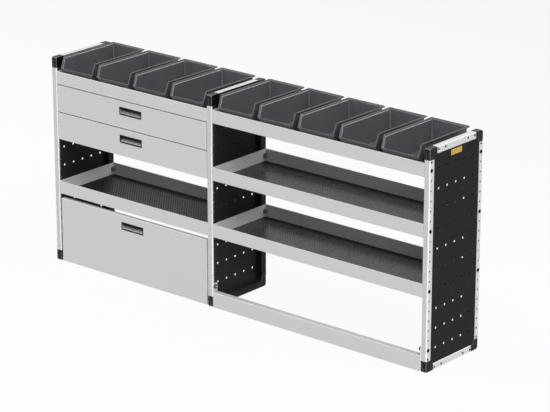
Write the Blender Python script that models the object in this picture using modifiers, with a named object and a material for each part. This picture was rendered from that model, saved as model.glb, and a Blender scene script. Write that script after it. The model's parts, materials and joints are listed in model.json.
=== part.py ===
"""Van racking row: three end frames, five trays, nine bins, two drawers, a drop flap and a kick rail."""

import math

import bmesh
import bpy
from mathutils import Matrix, Vector

MM = 0.001

# The row. X runs along the row, -Y is the front and Z = 0 is the floor.
left_bay = 940 * MM
right_bay = 1190 * MM
row_depth = 374 * MM
hole_pitch = 45 * MM
foot_margin = 56 * MM
top_margin = 52 * MM
frame_pitches = 20

# Fits
seat = 0.3 * MM
overrun = 5 * MM
merge_distance = 0.015 * MM
front_gap = 3 * MM
front_foot_gap = 1 * MM
face_set_back = 2 * MM

# End frames
frame_thick = 30 * MM
member_width = 30 * MM
profile_wall = 2 * MM
nose_radius = 5 * MM
nose_lip = 8 * MM
hole_edge = 12 * MM
hole_radius = 4.5 * MM
connector_leg = 51 * MM
connector_front_radius = 5 * MM
connector_rear_radius = 13 * MM
connector_inner_radius = 12 * MM
connector_groove = 8 * MM
connector_groove_depth = 2 * MM
spigot_length = 22 * MM
spigot_play = 2 * MM
end_screw_inset = 8.5 * MM
bolt_head_radius = 7.5 * MM
bolt_head_height = 3.5 * MM

# Perforated side panels
panel_sheet = 1.5 * MM
panel_recess = 1.5 * MM
panel_hole_radius = 5 * MM
panel_column_edge = 66 * MM
panel_columns = 5
panel_row_pitches = 2
rail_screw_insets = (59 * MM, 108 * MM)

# Trays, by how many pitches their bolts lie above the middle of the frame
tray_height = 62 * MM
tray_sheet = 1.5 * MM
tray_fold = 3 * MM
hem_height = 10 * MM
hem_gap = 0.6 * MM
mat_thick = 3 * MM
top_pitches = 9
upper_pitches = 3
lower_pitches = -3
kick_pitches = -9
bolt_radius = 4.5 * MM

# Drawers
drawer_pitches = 3
front_return = 10 * MM
slide_space = 12.7 * MM
drawer_side_share = 0.95
drawer_foot = 8 * MM
drawer_back_space = 22 * MM

# Telescopic slides: three channels, one inside the other
slide_height = 34 * MM
slide_sheet = 1.2 * MM
slide_lip = 10 * MM
slide_end_space = 6 * MM
slide_share = 0.45

# Recessed pulls
pull_width = 138 * MM
pull_height = 34 * MM
pull_bezel = 4 * MM
pull_bezel_thick = 1.2 * MM
pull_depth = 25 * MM
pull_wall = 1.6 * MM
pull_hook = 2 * MM
scoop_share = 0.75
drawer_pull_drop = 47 * MM

# Flap and its hinge rod
flap_side_gap = 9 * MM
flap_top_gap = 23 * MM
flap_floor_gap = 2 * MM
flap_return = 22 * MM
flap_fold = 4 * MM
flap_sheet = 1.5 * MM
flap_pull_drop = 49 * MM
rod_radius = 4 * MM
rod_set_back = 9 * MM
rod_height = 13 * MM
rod_reach = 12 * MM
rod_play = 0.4 * MM

# Kick rail
kick_height = 72 * MM
kick_depth = 30 * MM
kick_sheet = 2 * MM
kick_tab_width = 29 * MM
kick_tab_rise = 14 * MM
kick_corner = 6 * MM

# Storage bins
bin_width = 206 * MM
bin_gap = 24 * MM
bin_height = 131 * MM
bin_rim = 10 * MM
bin_rim_flat = 3.5 * MM
bin_flare = 8 * MM
bin_front_rim = 5 * MM
bin_rim_drop = 6 * MM
bin_wall = 2 * MM
bin_lip_height = 72 * MM
bin_nose_set_back = 21 * MM
bin_draft = 5 * MM
bin_front_space = 2 * MM
bin_back_space = 8 * MM

# Counts of facets
hole_sides = 6
bolt_head_sides = 8
round_sides = 16
arc_steps = 3
flat_angle = math.radians(0.1)
sharp_angle = math.radians(35)

# Places worked out from the sizes above
row_height = foot_margin + frame_pitches * hole_pitch + top_margin
row_width = left_bay + right_bay + 3 * frame_thick
front_y = -row_depth / 2
rear_y = row_depth / 2
left_x = -row_width / 2
mid_x = left_x + frame_thick + left_bay
right_x = row_width / 2
left_bay_span = (left_x + frame_thick, mid_x)
right_bay_span = (mid_x + frame_thick, right_x - frame_thick)


def level_z(pitches):
    """Height of the bolt hole that lies this many pitches above the hole column's middle."""
    return foot_margin + (frame_pitches / 2 + pitches) * hole_pitch


def tray_bottom(pitches):
    return level_z(pitches) - tray_height / 2


# Scene, collections and materials

def clear_scene():
    for thing in list(bpy.data.objects):
        bpy.data.objects.remove(thing, do_unlink=True)


def new_collection(name):
    group = bpy.data.collections.new(name)
    bpy.context.scene.collection.children.link(group)
    return group


def finish_material(name, colour, roughness, metallic):
    finish = bpy.data.materials.new(name)
    finish.use_nodes = True
    shader = finish.node_tree.nodes["Principled BSDF"]
    shader.inputs["Base Color"].default_value = (*colour, 1.0)
    shader.inputs["Roughness"].default_value = roughness
    shader.inputs["Metallic"].default_value = metallic
    return finish


clear_scene()
parts = new_collection("van_racking_row")
cutters = new_collection("cutters")

silver_paint = finish_material("silver_paint", (0.58, 0.59, 0.60), 0.42, 0.25)
anodised = finish_material("anodised_aluminium", (0.66, 0.67, 0.68), 0.35, 0.75)
black_paint = finish_material("black_powder_coat", (0.020, 0.020, 0.022), 0.55, 0.0)
black_nylon = finish_material("black_nylon", (0.012, 0.012, 0.013), 0.45, 0.0)
bin_plastic = finish_material("bin_plastic", (0.060, 0.060, 0.064), 0.50, 0.0)
mat_rubber = finish_material("mat_rubber", (0.055, 0.055, 0.058), 0.85, 0.0)
zinc = finish_material("zinc_plate", (0.55, 0.56, 0.57), 0.32, 0.9)


# Modelling helpers

def object_from_bmesh(shape, name, group):
    mesh = bpy.data.meshes.new(name)
    bmesh.ops.recalc_face_normals(shape, faces=shape.faces)
    shape.to_mesh(mesh)
    shape.free()
    thing = bpy.data.objects.new(name, mesh)
    group.objects.link(thing)
    return thing


def block(name, low, high, group=cutters):
    """A box between two corners."""
    shape = bmesh.new()
    size = Vector(high) - Vector(low)
    middle = (Vector(high) + Vector(low)) / 2
    bmesh.ops.create_cube(shape, size=1, matrix=Matrix.Translation(middle) @ Matrix.Diagonal((*size, 1)))
    return object_from_bmesh(shape, name, group)


def round_outline(corners):
    """A closed outline from (a, b, radius) corners, with an arc at each corner that has a radius."""
    points = []
    count = len(corners)
    for index, (a, b, radius) in enumerate(corners):
        here = Vector((a, b))
        if radius <= 0:
            points.append(here)
            continue
        before = (Vector(corners[index - 1][:2]) - here).normalized()
        after = (Vector(corners[(index + 1) % count][:2]) - here).normalized()
        half = before.angle(after) / 2
        centre = here + (before + after).normalized() * (radius / math.sin(half))
        start = here + before * (radius / math.tan(half)) - centre
        sweep = start.angle_signed(here + after * (radius / math.tan(half)) - centre)
        for step in range(arc_steps + 1):
            turn = Matrix.Rotation(-sweep * step / arc_steps, 2)
            points.append(centre + turn @ start)
    return points


# How an outline's two axes and its depth lie in the row, by the axis it is extruded along
lay = {
    "X": Matrix(((0, 0, 1, 0), (1, 0, 0, 0), (0, 1, 0, 0), (0, 0, 0, 1))),
    "Y": Matrix(((1, 0, 0, 0), (0, 0, -1, 0), (0, 1, 0, 0), (0, 0, 0, 1))),
    "Z": Matrix.Identity(4),
}
unit = {"X": Vector((1, 0, 0)), "Y": Vector((0, 1, 0)), "Z": Vector((0, 0, 1))}


def extrude(name, outline, axis, start, end, group=cutters):
    """A flat outline made solid along an axis: (y, z) along X, (x, z) along Y, (x, y) along Z."""
    curve = bpy.data.curves.new(name, "CURVE")
    curve.dimensions = "2D"
    curve.fill_mode = "BOTH"
    curve.extrude = abs(end - start) / 2
    spline = curve.splines.new("POLY")
    spline.points.add(len(outline) - 1)
    for point, place in zip(spline.points, outline):
        point.co = (place[0], place[1], 0, 1)
    spline.use_cyclic_u = True
    drawn = bpy.data.objects.new(name + "_outline", curve)
    cutters.objects.link(drawn)
    drawn.matrix_world = Matrix.Translation(unit[axis] * ((start + end) / 2)) @ lay[axis]
    bpy.context.view_layer.update()
    evaluated = drawn.evaluated_get(bpy.context.evaluated_depsgraph_get())
    shape = bmesh.new()
    flat = bpy.data.meshes.new_from_object(evaluated)
    shape.from_mesh(flat)
    bmesh.ops.remove_doubles(shape, verts=shape.verts, dist=merge_distance)
    bmesh.ops.dissolve_limit(shape, angle_limit=flat_angle, verts=shape.verts, edges=shape.edges)
    bmesh.ops.transform(shape, matrix=drawn.matrix_world, verts=shape.verts)
    bpy.data.objects.remove(drawn)
    bpy.data.curves.remove(curve)
    bpy.data.meshes.remove(flat)
    return object_from_bmesh(shape, name, group)


def drills(name, centres, axis, radius, depth, sides=hole_sides):
    """Round cutters of one radius at many places, all along one axis."""
    shape = bmesh.new()
    turn = Vector((0, 0, 1)).rotation_difference(unit[axis]).to_matrix().to_4x4()
    for centre in centres:
        bmesh.ops.create_cone(shape, cap_ends=True, segments=sides, radius1=radius, radius2=radius,
                              depth=depth, matrix=Matrix.Translation(centre) @ turn)
    return object_from_bmesh(shape, name, cutters)


def combine(part, other, operation):
    """Cut or join another solid, which then stays as a guide."""
    other.display_type = "WIRE"
    other.hide_render = True
    change = part.modifiers.new(other.name, "BOOLEAN")
    change.operation = operation
    change.object = other
    return part


def cut(part, other):
    return combine(part, other, "DIFFERENCE")


def join(part, other):
    return combine(part, other, "UNION")


def finish(part, material):
    part.data.materials.clear()
    part.data.materials.append(material)
    part.data.shade_smooth()
    part.data.set_sharp_from_angle(angle=sharp_angle)
    return part


# End frames. Each has an outer face and an open inner face; across() measures from the outer one.

class EndFrame:
    def __init__(self, name, outer_x, inward):
        self.name = name
        self.outer_x = outer_x
        self.inward = inward

    def across(self, distance):
        return self.outer_x + self.inward * distance

    def outline(self, corners):
        return round_outline([(self.across(a), b, radius) for a, b, radius in corners])


end_frames = (
    EndFrame("left", left_x, 1),
    EndFrame("mid", mid_x, 1),
    EndFrame("right", right_x, -1),
)
panel_face = frame_thick - panel_sheet
profile_depth = panel_face - seat


def hole_heights():
    steps = frame_pitches // 2 - 1
    return [level_z(step) for step in range(-steps, steps + 1)]


def bolt_heads(frame, y, heights):
    """Button heads on the outer face, seated over their holes."""
    places = [Vector((frame.across(-bolt_head_height / 2 + seat), y, z)) for z in heights]
    return drills(frame.name + "_bolt_heads", places, "X", bolt_head_radius, bolt_head_height + 2 * seat,
                  bolt_head_sides)


def nose_profile(frame):
    """Section of a front upright: web, rounded nose and a lip that turns in."""
    outer, inner = nose_radius, nose_radius - profile_wall
    front, wall = front_y, profile_wall
    back = front + member_width
    return frame.outline([
        (0, front, outer), (frame_thick, front, outer),
        (frame_thick, front + nose_lip, 0), (frame_thick - wall, front + nose_lip, 0),
        (frame_thick - wall, front + wall, inner), (wall, front + wall, inner),
        (wall, back - wall, 0), (profile_depth, back - wall, 0),
        (profile_depth, back, 0), (0, back, 0),
    ])


def channel_profile(frame, low, high):
    """Section of a plain channel that opens to the inner face, between two edges."""
    wall = profile_wall
    return frame.outline([
        (0, low, 0), (profile_depth, low, 0), (profile_depth, low + wall, 0), (wall, low + wall, 0),
        (wall, high - wall, 0), (profile_depth, high - wall, 0), (profile_depth, high, 0), (0, high, 0),
    ])


def make_upright(frame, place):
    """An upright with its column of holes, two end screw holes and the bolts' heads."""
    low, high = connector_leg + seat, row_height - connector_leg - seat
    name = frame.name + "_" + place + "_upright"
    if place == "front":
        outline = nose_profile(frame)
        hole_y = front_y + hole_edge
        levels = (kick_pitches, lower_pitches, upper_pitches, top_pitches)
    else:
        outline = channel_profile(frame, rear_y - member_width, rear_y)
        hole_y = rear_y - hole_edge
        levels = (lower_pitches, upper_pitches, top_pitches)
    upright = extrude(name, outline, "Z", low, high, parts)
    heights = [z for z in hole_heights() if frame.name == "mid" or z not in [level_z(l) for l in levels]]
    heights += [low + end_screw_inset, high - end_screw_inset]
    places = [Vector((frame.across(0), hole_y, z)) for z in heights]
    cut(upright, drills(name + "_holes", places, "X", hole_radius, 2 * overrun))
    if frame.name != "mid":
        join(upright, bolt_heads(frame, hole_y, [level_z(l) for l in levels]))
    return finish(upright, anodised)


def make_rail(frame, place):
    """A top or bottom rail between the corner connectors."""
    name = frame.name + "_" + place + "_rail"
    low, high = (row_height - member_width, row_height) if place == "top" else (0, member_width)
    hole_z = high - hole_edge if place == "top" else low + hole_edge
    start, end = front_y + connector_leg + seat, rear_y - connector_leg - seat
    rail = extrude(name, channel_profile(frame, low, high), "Y", start, end, parts)
    near = [front_y + inset for inset in rail_screw_insets]
    far = [rear_y - inset for inset in rail_screw_insets]
    places = [Vector((frame.across(0), y, hole_z)) for y in near + far]
    cut(rail, drills(name + "_holes", places, "X", hole_radius, 2 * overrun))
    return finish(rail, anodised)


def panel_opening(frame, inset, start, end, name, group=cutters):
    """The rounded block that fills the frame's opening, less an inset all round."""
    edge = member_width + inset
    radius = connector_inner_radius - inset
    low, high = front_y + edge, rear_y - edge
    outline = round_outline([(low, edge, radius), (high, edge, radius), (high, row_height - edge, radius),
                             (low, row_height - edge, radius)])
    ends = sorted((frame.across(start), frame.across(end)))
    return extrude(name, outline, "X", ends[0], ends[1], group)


def make_side_panel(frame):
    """A folded pan: perforated web at the outer face, four walls and a flange over each profile."""
    name = frame.name + "_side_panel"
    floor = panel_recess + panel_sheet
    panel = panel_opening(frame, seat, panel_recess, panel_face + panel_sheet / 2, name, parts)
    side = connector_leg + seat
    lap = member_width + seat + panel_sheet + overrun
    strips = {
        "front": (front_y + nose_lip + seat, side, front_y + lap, row_height - side),
        "rear": (rear_y - lap, side, rear_y, row_height - side),
        "bottom": (front_y + side, seat, rear_y - side, lap),
        "top": (front_y + side, row_height - lap, rear_y - side, row_height - seat),
    }
    ends = sorted((frame.across(panel_face), frame.across(frame_thick)))
    for place, (y0, z0, y1, z1) in strips.items():
        join(panel, block(name + "_" + place + "_flange", (ends[0], y0, z0), (ends[1], y1, z1)))
    cut(panel, panel_opening(frame, seat + panel_sheet, floor, frame_thick + overrun, name + "_hollow"))
    span = row_depth - 2 * panel_column_edge
    columns = [front_y + panel_column_edge + span * i / (panel_columns - 1) for i in range(panel_columns)]
    places = [Vector((frame.across(floor), y, z)) for z in hole_heights()[::panel_row_pitches] for y in columns]
    cut(panel, drills(name + "_holes", places, "X", panel_hole_radius, 2 * overrun))
    return finish(panel, black_paint)


def make_connector(frame, height, depth):
    """An L-shaped corner connector with a spigot into each profile and a groove in its nose."""
    name = frame.name + "_connector_" + height + "_" + depth
    up = 1 if height == "bottom" else -1
    back = 1 if depth == "front" else -1
    y0 = front_y if depth == "front" else rear_y
    z0 = 0 if height == "bottom" else row_height
    leg, wide = connector_leg, member_width
    outer = connector_front_radius if depth == "front" else connector_rear_radius
    corners = [(0, 0, outer), (leg, 0, 0), (leg, wide, 0), (wide, wide, connector_inner_radius), (wide, leg, 0),
               (0, leg, 0)]
    outline = round_outline([(y0 + back * a, z0 + up * b, radius) for a, b, radius in corners])
    ends = sorted((frame.across(0), frame.across(frame_thick)))
    connector = extrude(name, outline, "X", ends[0], ends[1], parts)
    inset = profile_wall + spigot_play
    across = sorted((frame.across(inset), frame.across(profile_depth - inset)))
    for run, tag in (((inset, wide - inset, leg - inset, leg + spigot_length), "up"),
                     ((leg - inset, leg + spigot_length, inset, wide - inset), "along")):
        ys = sorted((y0 + back * run[0], y0 + back * run[1]))
        zs = sorted((z0 + up * run[2], z0 + up * run[3]))
        join(connector, block(name + "_spigot_" + tag, (across[0], ys[0], zs[0]), (across[1], ys[1], zs[1])))
    middle = frame.across(frame_thick / 2)
    near, far = sorted((y0 - back * overrun, y0 + back * connector_groove_depth))
    stop, go = sorted((z0 + up * 2 * outer, z0 + up * (leg + seat)))
    cut(connector, block(name + "_groove", (middle - connector_groove / 2, near, stop),
                         (middle + connector_groove / 2, far, go)))
    if height == "bottom" and depth == "front" and frame.name != "right":
        bay_x = frame.across(frame_thick) if frame.name == "left" else frame.across(0)
        reach = 2 * (rod_reach + rod_play)
        place = [Vector((bay_x, front_y + rod_set_back, rod_height))]
        cut(connector, drills(name + "_bore", place, "X", rod_radius + rod_play, reach, round_sides))
    return finish(connector, black_nylon)


# Trays and mats

def make_tray(name, bay, level):
    """A folded tray with a hemmed front edge, bolted through its ends."""
    low_x, high_x = bay[0] + seat, bay[1] - seat
    bottom, top = tray_bottom(level), tray_bottom(level) + tray_height
    outer = round_outline([(front_y, bottom, tray_fold), (rear_y, bottom, tray_fold), (rear_y, top, 0),
                           (front_y, top, 0)])
    tray = extrude(name, outer, "X", low_x, high_x, parts)
    wall, hem = tray_sheet, 2 * tray_sheet + hem_gap
    radius = tray_fold - tray_sheet
    low, high, below = front_y + wall, rear_y - wall, top - hem_height
    inner = round_outline([
        (low, bottom + wall, radius), (high, bottom + wall, radius), (high, top + overrun, 0),
        (front_y + hem, top + overrun, 0), (front_y + hem, below, 0), (low, below, 0),
    ])
    cut(tray, extrude(name + "_hollow", inner, "X", low_x + wall, high_x - wall))
    places = [Vector((x, y, level_z(level))) for x in (low_x, high_x)
              for y in (front_y + hole_edge, rear_y - hole_edge)]
    cut(tray, drills(name + "_bolt_holes", places, "X", bolt_radius, 2 * overrun))
    return finish(tray, silver_paint)


def make_mat(name, bay, level):
    """A rubber mat on the tray's floor."""
    inset = tray_sheet + 2 * seat
    floor = tray_bottom(level) + tray_sheet + seat
    radius = tray_fold
    low_x, high_x = bay[0] + inset + seat, bay[1] - inset - seat
    low_y, high_y = front_y + inset + tray_fold, rear_y - inset - tray_fold
    outline = round_outline([(low_x, low_y, radius), (high_x, low_y, radius), (high_x, high_y, radius),
                             (low_x, high_y, radius)])
    return finish(extrude(name, outline, "Z", floor, floor + mat_thick, parts), mat_rubber)


# Recessed pulls

def pull_cutout(name, middle_x, middle_z, face_y):
    """The hole in a front that a pull's housing passes through."""
    wide, high = pull_width / 2 - pull_bezel / 2, pull_height / 2 - pull_bezel / 2
    return block(name + "_pull_cutout", (middle_x - wide, face_y - overrun, middle_z - high),
                 (middle_x + wide, face_y + overrun, middle_z + high))


def scoop_outline(front, back, low, high, sill):
    """Section of a scoop: its floor curves up from the sill at the front to the back."""
    points = [(front, high), (front, sill)]
    steps = 2 * arc_steps
    for step in range(1, steps + 1):
        turn = math.pi / 2 * step / steps
        rise = (high - low) * scoop_share * (1 - math.cos(turn))
        points.append((front + (back - front) * math.sin(turn), low + rise))
    points.append((back, high))
    return points


def make_pull(name, middle_x, middle_z, face_y):
    """A one-piece recessed pull: bezel, scooped housing and a hooked upper edge."""
    half_wide, half_high = pull_width / 2, pull_height / 2
    bezel_back = face_y - seat
    bezel_front = bezel_back - pull_bezel_thick
    bezel = round_outline([(middle_x - half_wide, middle_z - half_high, pull_bezel / 2),
                           (middle_x + half_wide, middle_z - half_high, pull_bezel / 2),
                           (middle_x + half_wide, middle_z + half_high, pull_bezel / 2),
                           (middle_x - half_wide, middle_z + half_high, pull_bezel / 2)])
    pull = extrude(name, bezel, "Y", bezel_front, bezel_back, parts)
    body = pull_bezel / 2 + seat
    low, high = middle_z - half_high + body, middle_z + half_high - body
    back = face_y + pull_depth
    housing = scoop_outline(bezel_front + pull_bezel_thick / 2, back, low, high, low)
    join(pull, extrude(name + "_housing", housing, "X", middle_x - half_wide + body, middle_x + half_wide - body))
    opening_low, opening_high = middle_z - half_high + pull_bezel, middle_z + half_high - pull_bezel
    inner = scoop_outline(bezel_back, back - pull_wall, low + pull_wall, high - pull_wall, opening_low)
    reach = half_wide - pull_bezel
    cut(pull, extrude(name + "_scoop", inner, "X", middle_x - reach, middle_x + reach))
    cut(pull, block(name + "_mouth", (middle_x - reach, bezel_front - overrun, opening_low),
                    (middle_x + reach, bezel_back + pull_hook, opening_high)))
    return finish(pull, black_nylon)


# Drawers and their telescopic slides

def drawer_span(order):
    """Bottom and top of the drawer's front, counted down from the top tray."""
    top = tray_bottom(top_pitches) - order * drawer_pitches * hole_pitch
    return top - drawer_pitches * hole_pitch + front_foot_gap, top - front_gap


def slide_height_middle(order):
    low, high = drawer_span(order)
    return low + (high - low) * slide_share


def slide_channel(frame_x, inward, first, last, half, name, z, y_span, group):
    """A channel of the slide, open towards the drawer, at a distance from the upright."""
    near, web, far = first, first + slide_sheet, last
    corners = [(near, -half), (far, -half), (far, -half + slide_sheet), (web, -half + slide_sheet),
               (web, half - slide_sheet), (far, half - slide_sheet), (far, half), (near, half)]
    outline = [(frame_x + inward * u, z + w) for u, w in corners]
    return extrude(name, outline, "Y", y_span[0], y_span[1], group)


def make_slides(tag, order):
    """The fixed and the middle member of the slide at each side of a drawer."""
    z = slide_height_middle(order)
    fixed_half = slide_height / 2
    middle_half = fixed_half - slide_sheet - seat
    start = front_y + face_set_back + front_return + seat
    end = rear_y - slide_end_space
    for side, x, inward in (("left", left_bay_span[0], 1), ("right", left_bay_span[1], -1)):
        fixed = slide_channel(x, inward, seat, seat + slide_lip, fixed_half, tag + "_" + side + "_slide_fixed",
                              z, (start, end), parts)
        finish(fixed, zinc)
        first = 2 * seat + slide_sheet
        middle = slide_channel(x, inward, first, seat + slide_lip, middle_half,
                               tag + "_" + side + "_slide_middle", z, (start, end - seat), parts)
        finish(middle, zinc)


def make_drawer(tag, order):
    """A welded drawer: folded front, open box and the slides' inner members on its sides."""
    low, high = drawer_span(order)
    face, sheet = front_y + face_set_back, tray_sheet
    left, right = left_bay_span[0] + front_gap, left_bay_span[1] - front_gap
    name = tag + "_drawer"
    behind = face + front_return
    drawer = extrude(name, round_outline([(left, low, sheet), (right, low, sheet), (right, high, sheet),
                                          (left, high, sheet)]), "Y", face, behind, parts)
    cut(drawer, block(name + "_front_hollow", (left + sheet, face + sheet, low + sheet),
                      (right - sheet, behind + overrun, high + overrun)))
    box_left, box_right = left_bay_span[0] + slide_space, left_bay_span[1] - slide_space
    box_back = rear_y - drawer_back_space
    floor, side_top = low + drawer_foot, low + (high - low) * drawer_side_share
    shell = block(name + "_box", (box_left, face + sheet / 2, floor), (box_right, box_back, side_top))
    join(drawer, shell)
    cut(drawer, block(name + "_box_hollow", (box_left + sheet, face + sheet, floor + sheet),
                      (box_right - sheet, box_back - sheet, side_top + overrun)))
    z = slide_height_middle(order)
    half = slide_height / 2 - 2 * (slide_sheet + seat)
    reach = 3 * seat + 2 * slide_sheet
    lips_start = behind + seat
    for side, x, inward in (("left", left_bay_span[0], 1), ("right", left_bay_span[1], -1)):
        for lip, low_w in (("upper", half - slide_sheet), ("lower", -half)):
            xs = sorted((x + inward * reach, x + inward * (slide_space + sheet / 2)))
            join(drawer, block(name + "_" + side + "_" + lip + "_lip", (xs[0], lips_start, z + low_w),
                               (xs[1], box_back, z + low_w + slide_sheet)))
    middle_x = sum(left_bay_span) / 2
    pull_z = high - drawer_pull_drop
    cut(drawer, pull_cutout(name, middle_x, pull_z, face))
    finish(drawer, silver_paint)
    make_pull(tag + "_drawer_pull", middle_x, pull_z, face)
    make_slides(tag, order)


# Drop flap in the bottom of the left bay

def make_flap():
    """A folded flap that drops forward on the hinge rod through its side returns."""
    face, sheet = front_y + face_set_back, flap_sheet
    left, right = left_bay_span[0] + flap_side_gap, left_bay_span[1] - flap_side_gap
    low, high = flap_floor_gap, tray_bottom(lower_pitches) - flap_top_gap
    back = face + flap_return
    outer = round_outline([(face, low, flap_fold), (back, low, flap_fold), (back, high, 0), (face, high, sheet)])
    flap = extrude("flap", outer, "X", left, right, parts)
    inner = round_outline([(face + sheet, low + sheet, flap_fold - sheet), (back + overrun, low + sheet, 0),
                           (back + overrun, high - sheet, 0), (face + sheet, high - sheet, 0)])
    cut(flap, extrude("flap_hollow", inner, "X", left + sheet, right - sheet))
    rod = Vector((0, front_y + rod_set_back, rod_height))
    places = [rod + unit["X"] * left, rod + unit["X"] * right]
    cut(flap, drills("flap_rod_holes", places, "X", rod_radius + rod_play, 2 * overrun, round_sides))
    middle_x = (left + right) / 2
    pull_z = high - flap_pull_drop
    cut(flap, pull_cutout("flap", middle_x, pull_z, face))
    hinge = bpy.data.objects.new("flap_hinge_axis", None)
    parts.objects.link(hinge)
    hinge.location = rod
    bpy.context.view_layer.update()
    for piece in (finish(flap, silver_paint), make_pull("flap_pull", middle_x, pull_z, face)):
        piece.parent = hinge
        piece.matrix_parent_inverse = hinge.matrix_world.inverted()


def make_hinge_rod():
    """The rod that the flap turns on, held in a bore of a connector at each end."""
    start, end = left_bay_span[0] - rod_reach, left_bay_span[1] + rod_reach
    shape = bmesh.new()
    place = Vector(((start + end) / 2, front_y + rod_set_back, rod_height))
    bmesh.ops.create_cone(shape, cap_ends=True, segments=round_sides, radius1=rod_radius, radius2=rod_radius,
                          depth=end - start, matrix=Matrix.Translation(place) @ Matrix.Rotation(math.pi / 2, 4, "Y"))
    rod = object_from_bmesh(shape, "flap_hinge_rod", parts)
    return finish(rod, zinc)


# Kick rail under the right bay

def make_kick_rail():
    """A folded channel along the floor, with a bolted tab at each end."""
    low_x, high_x = right_bay_span[0] + seat, right_bay_span[1] - seat
    sheet, face = kick_sheet, front_y
    back, high = face + kick_depth, kick_height
    outline = round_outline([
        (face, 0, sheet), (back, 0, 0), (back, sheet, 0), (face + sheet, sheet, 0),
        (face + sheet, high - sheet, 0), (back, high - sheet, 0), (back, high, 0), (face, high, sheet),
    ])
    rail = extrude("kick_rail", outline, "X", low_x, high_x, parts)
    bolt_z = level_z(kick_pitches)
    top = bolt_z + kick_tab_rise
    tab = round_outline([(face + seat, seat, 0), (face + kick_tab_width, seat, 0),
                         (face + kick_tab_width, top, kick_corner), (face + seat, top, kick_corner)])
    join(rail, extrude("kick_rail_left_tab", tab, "X", low_x - seat / 2, low_x + sheet))
    join(rail, extrude("kick_rail_right_tab", tab, "X", high_x - sheet, high_x + seat / 2))
    places = [Vector((x, face + hole_edge, bolt_z)) for x in (low_x, high_x)]
    cut(rail, drills("kick_rail_bolt_holes", places, "X", bolt_radius, 2 * overrun))
    return finish(rail, silver_paint)


# Storage bins

def bin_cage():
    """The bin's inner surface below its flared rim, open at the top and at the sloping front."""
    depth = row_depth - bin_front_space - bin_back_space - 2 * tray_sheet
    half = bin_width / 2 - bin_rim
    front, back = bin_front_rim, depth - bin_rim
    rim_foot = bin_height - bin_flare
    shape = bmesh.new()
    bmesh.ops.create_cube(shape, size=bin_height)
    for vert in shape.verts:
        top = vert.co.z > 0
        draft = 0 if top else bin_draft
        vert.co.x = math.copysign(half - draft, vert.co.x)
        vert.co.y = front + draft if vert.co.y < 0 else back - draft
        vert.co.z = rim_foot if top else bin_wall
    lid = [f for f in shape.faces if all(v.co.z > rim_foot - seat for v in f.verts)]
    bmesh.ops.delete(shape, geom=lid, context="FACES")
    lip = Vector((0, front, bin_lip_height))
    slope = Vector((0, bin_nose_set_back, bin_height - bin_lip_height))
    normal = Vector((0, -slope.z, slope.y))
    everything = list(shape.verts) + list(shape.edges) + list(shape.faces)
    bmesh.ops.bisect_plane(shape, geom=everything, plane_co=lip, plane_no=normal, clear_outer=True)
    return shape, half, front, back


def turn_out_rim(shape, half, front, back):
    """Flare the open edge outwards and up, turn it flat, and turn its outer edge down."""
    near = 1.5 * bin_draft

    def outward(place, side_reach, front_reach):
        x = side_reach * (int(place.x > half - near) - int(place.x < near - half))
        if place.y > back - near:
            return Vector((x, side_reach, 0))
        at_lip = place.y < front + near and place.z < bin_lip_height + near
        return Vector((x, -front_reach if at_lip else 0, 0))

    def flare(place):
        share = (place.z - bin_lip_height) / (bin_height - bin_flare - bin_lip_height)
        return outward(place, bin_rim - bin_rim_flat, bin_front_rim / 2) + Vector((0, 0, bin_flare * share))

    def turn_flat(place):
        return outward(place, bin_rim_flat, bin_front_rim / 2)

    def turn_down(place):
        return Vector((0, 0, -bin_rim_drop))

    for move in (flare, turn_flat, turn_down):
        edges = [e for e in shape.edges if e.is_boundary]
        grown = bmesh.ops.extrude_edge_only(shape, edges=edges)["geom"]
        for vert in [g for g in grown if isinstance(g, bmesh.types.BMVert)]:
            vert.co += move(vert.co)


def make_bin_mesh():
    shape, half, front, back = bin_cage()
    turn_out_rim(shape, half, front, back)
    mesh = bpy.data.meshes.new("storage_bin")
    shape.to_mesh(mesh)
    shape.free()
    mesh.materials.append(bin_plastic)
    mesh.shade_smooth()
    mesh.set_sharp_from_angle(angle=sharp_angle)
    return mesh


def make_bins():
    """A row of bins in the middle of each top tray."""
    mesh = make_bin_mesh()
    pitch = bin_width + bin_gap
    floor = tray_bottom(top_pitches) + tray_sheet + seat
    for side, bay in (("left", left_bay_span), ("right", right_bay_span)):
        count = int((bay[1] - bay[0]) / pitch)
        for number in range(count):
            name = side + "_bin_" + str(number + 1)
            storage = bpy.data.objects.new(name, mesh)
            parts.objects.link(storage)
            offset = (number - (count - 1) / 2) * pitch
            storage.location = (sum(bay) / 2 + offset, front_y + tray_sheet + bin_front_space, floor)
            shell = storage.modifiers.new("wall", "SOLIDIFY")
            shell.thickness = bin_wall
            shell.offset = 1
            shell.use_even_offset = True


def build():
    for frame in end_frames:
        make_upright(frame, "front")
        make_upright(frame, "rear")
        make_rail(frame, "top")
        make_rail(frame, "bottom")
        make_side_panel(frame)
        for height in ("top", "bottom"):
            for depth in ("front", "rear"):
                make_connector(frame, height, depth)
    make_tray("left_top_tray", left_bay_span, top_pitches)
    make_tray("left_shelf_tray", left_bay_span, lower_pitches)
    make_tray("right_top_tray", right_bay_span, top_pitches)
    make_tray("right_upper_shelf_tray", right_bay_span, upper_pitches)
    make_tray("right_lower_shelf_tray", right_bay_span, lower_pitches)
    make_mat("left_shelf_mat", left_bay_span, lower_pitches)
    make_mat("right_upper_shelf_mat", right_bay_span, upper_pitches)
    make_mat("right_lower_shelf_mat", right_bay_span, lower_pitches)
    make_drawer("upper", 0)
    make_drawer("lower", 1)
    make_flap()
    make_hinge_rod()
    make_kick_rail()
    make_bins()


build()
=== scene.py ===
"""Dresses the van racking row: end frames, trays, mats, bins, drawers, flap, fasteners and a stage."""

import json
import math
from contextlib import contextmanager

import bmesh
import bpy
import numpy
from bpy.props import FloatProperty, FloatVectorProperty, IntProperty, PointerProperty
from mathutils import Matrix, Vector


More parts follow.
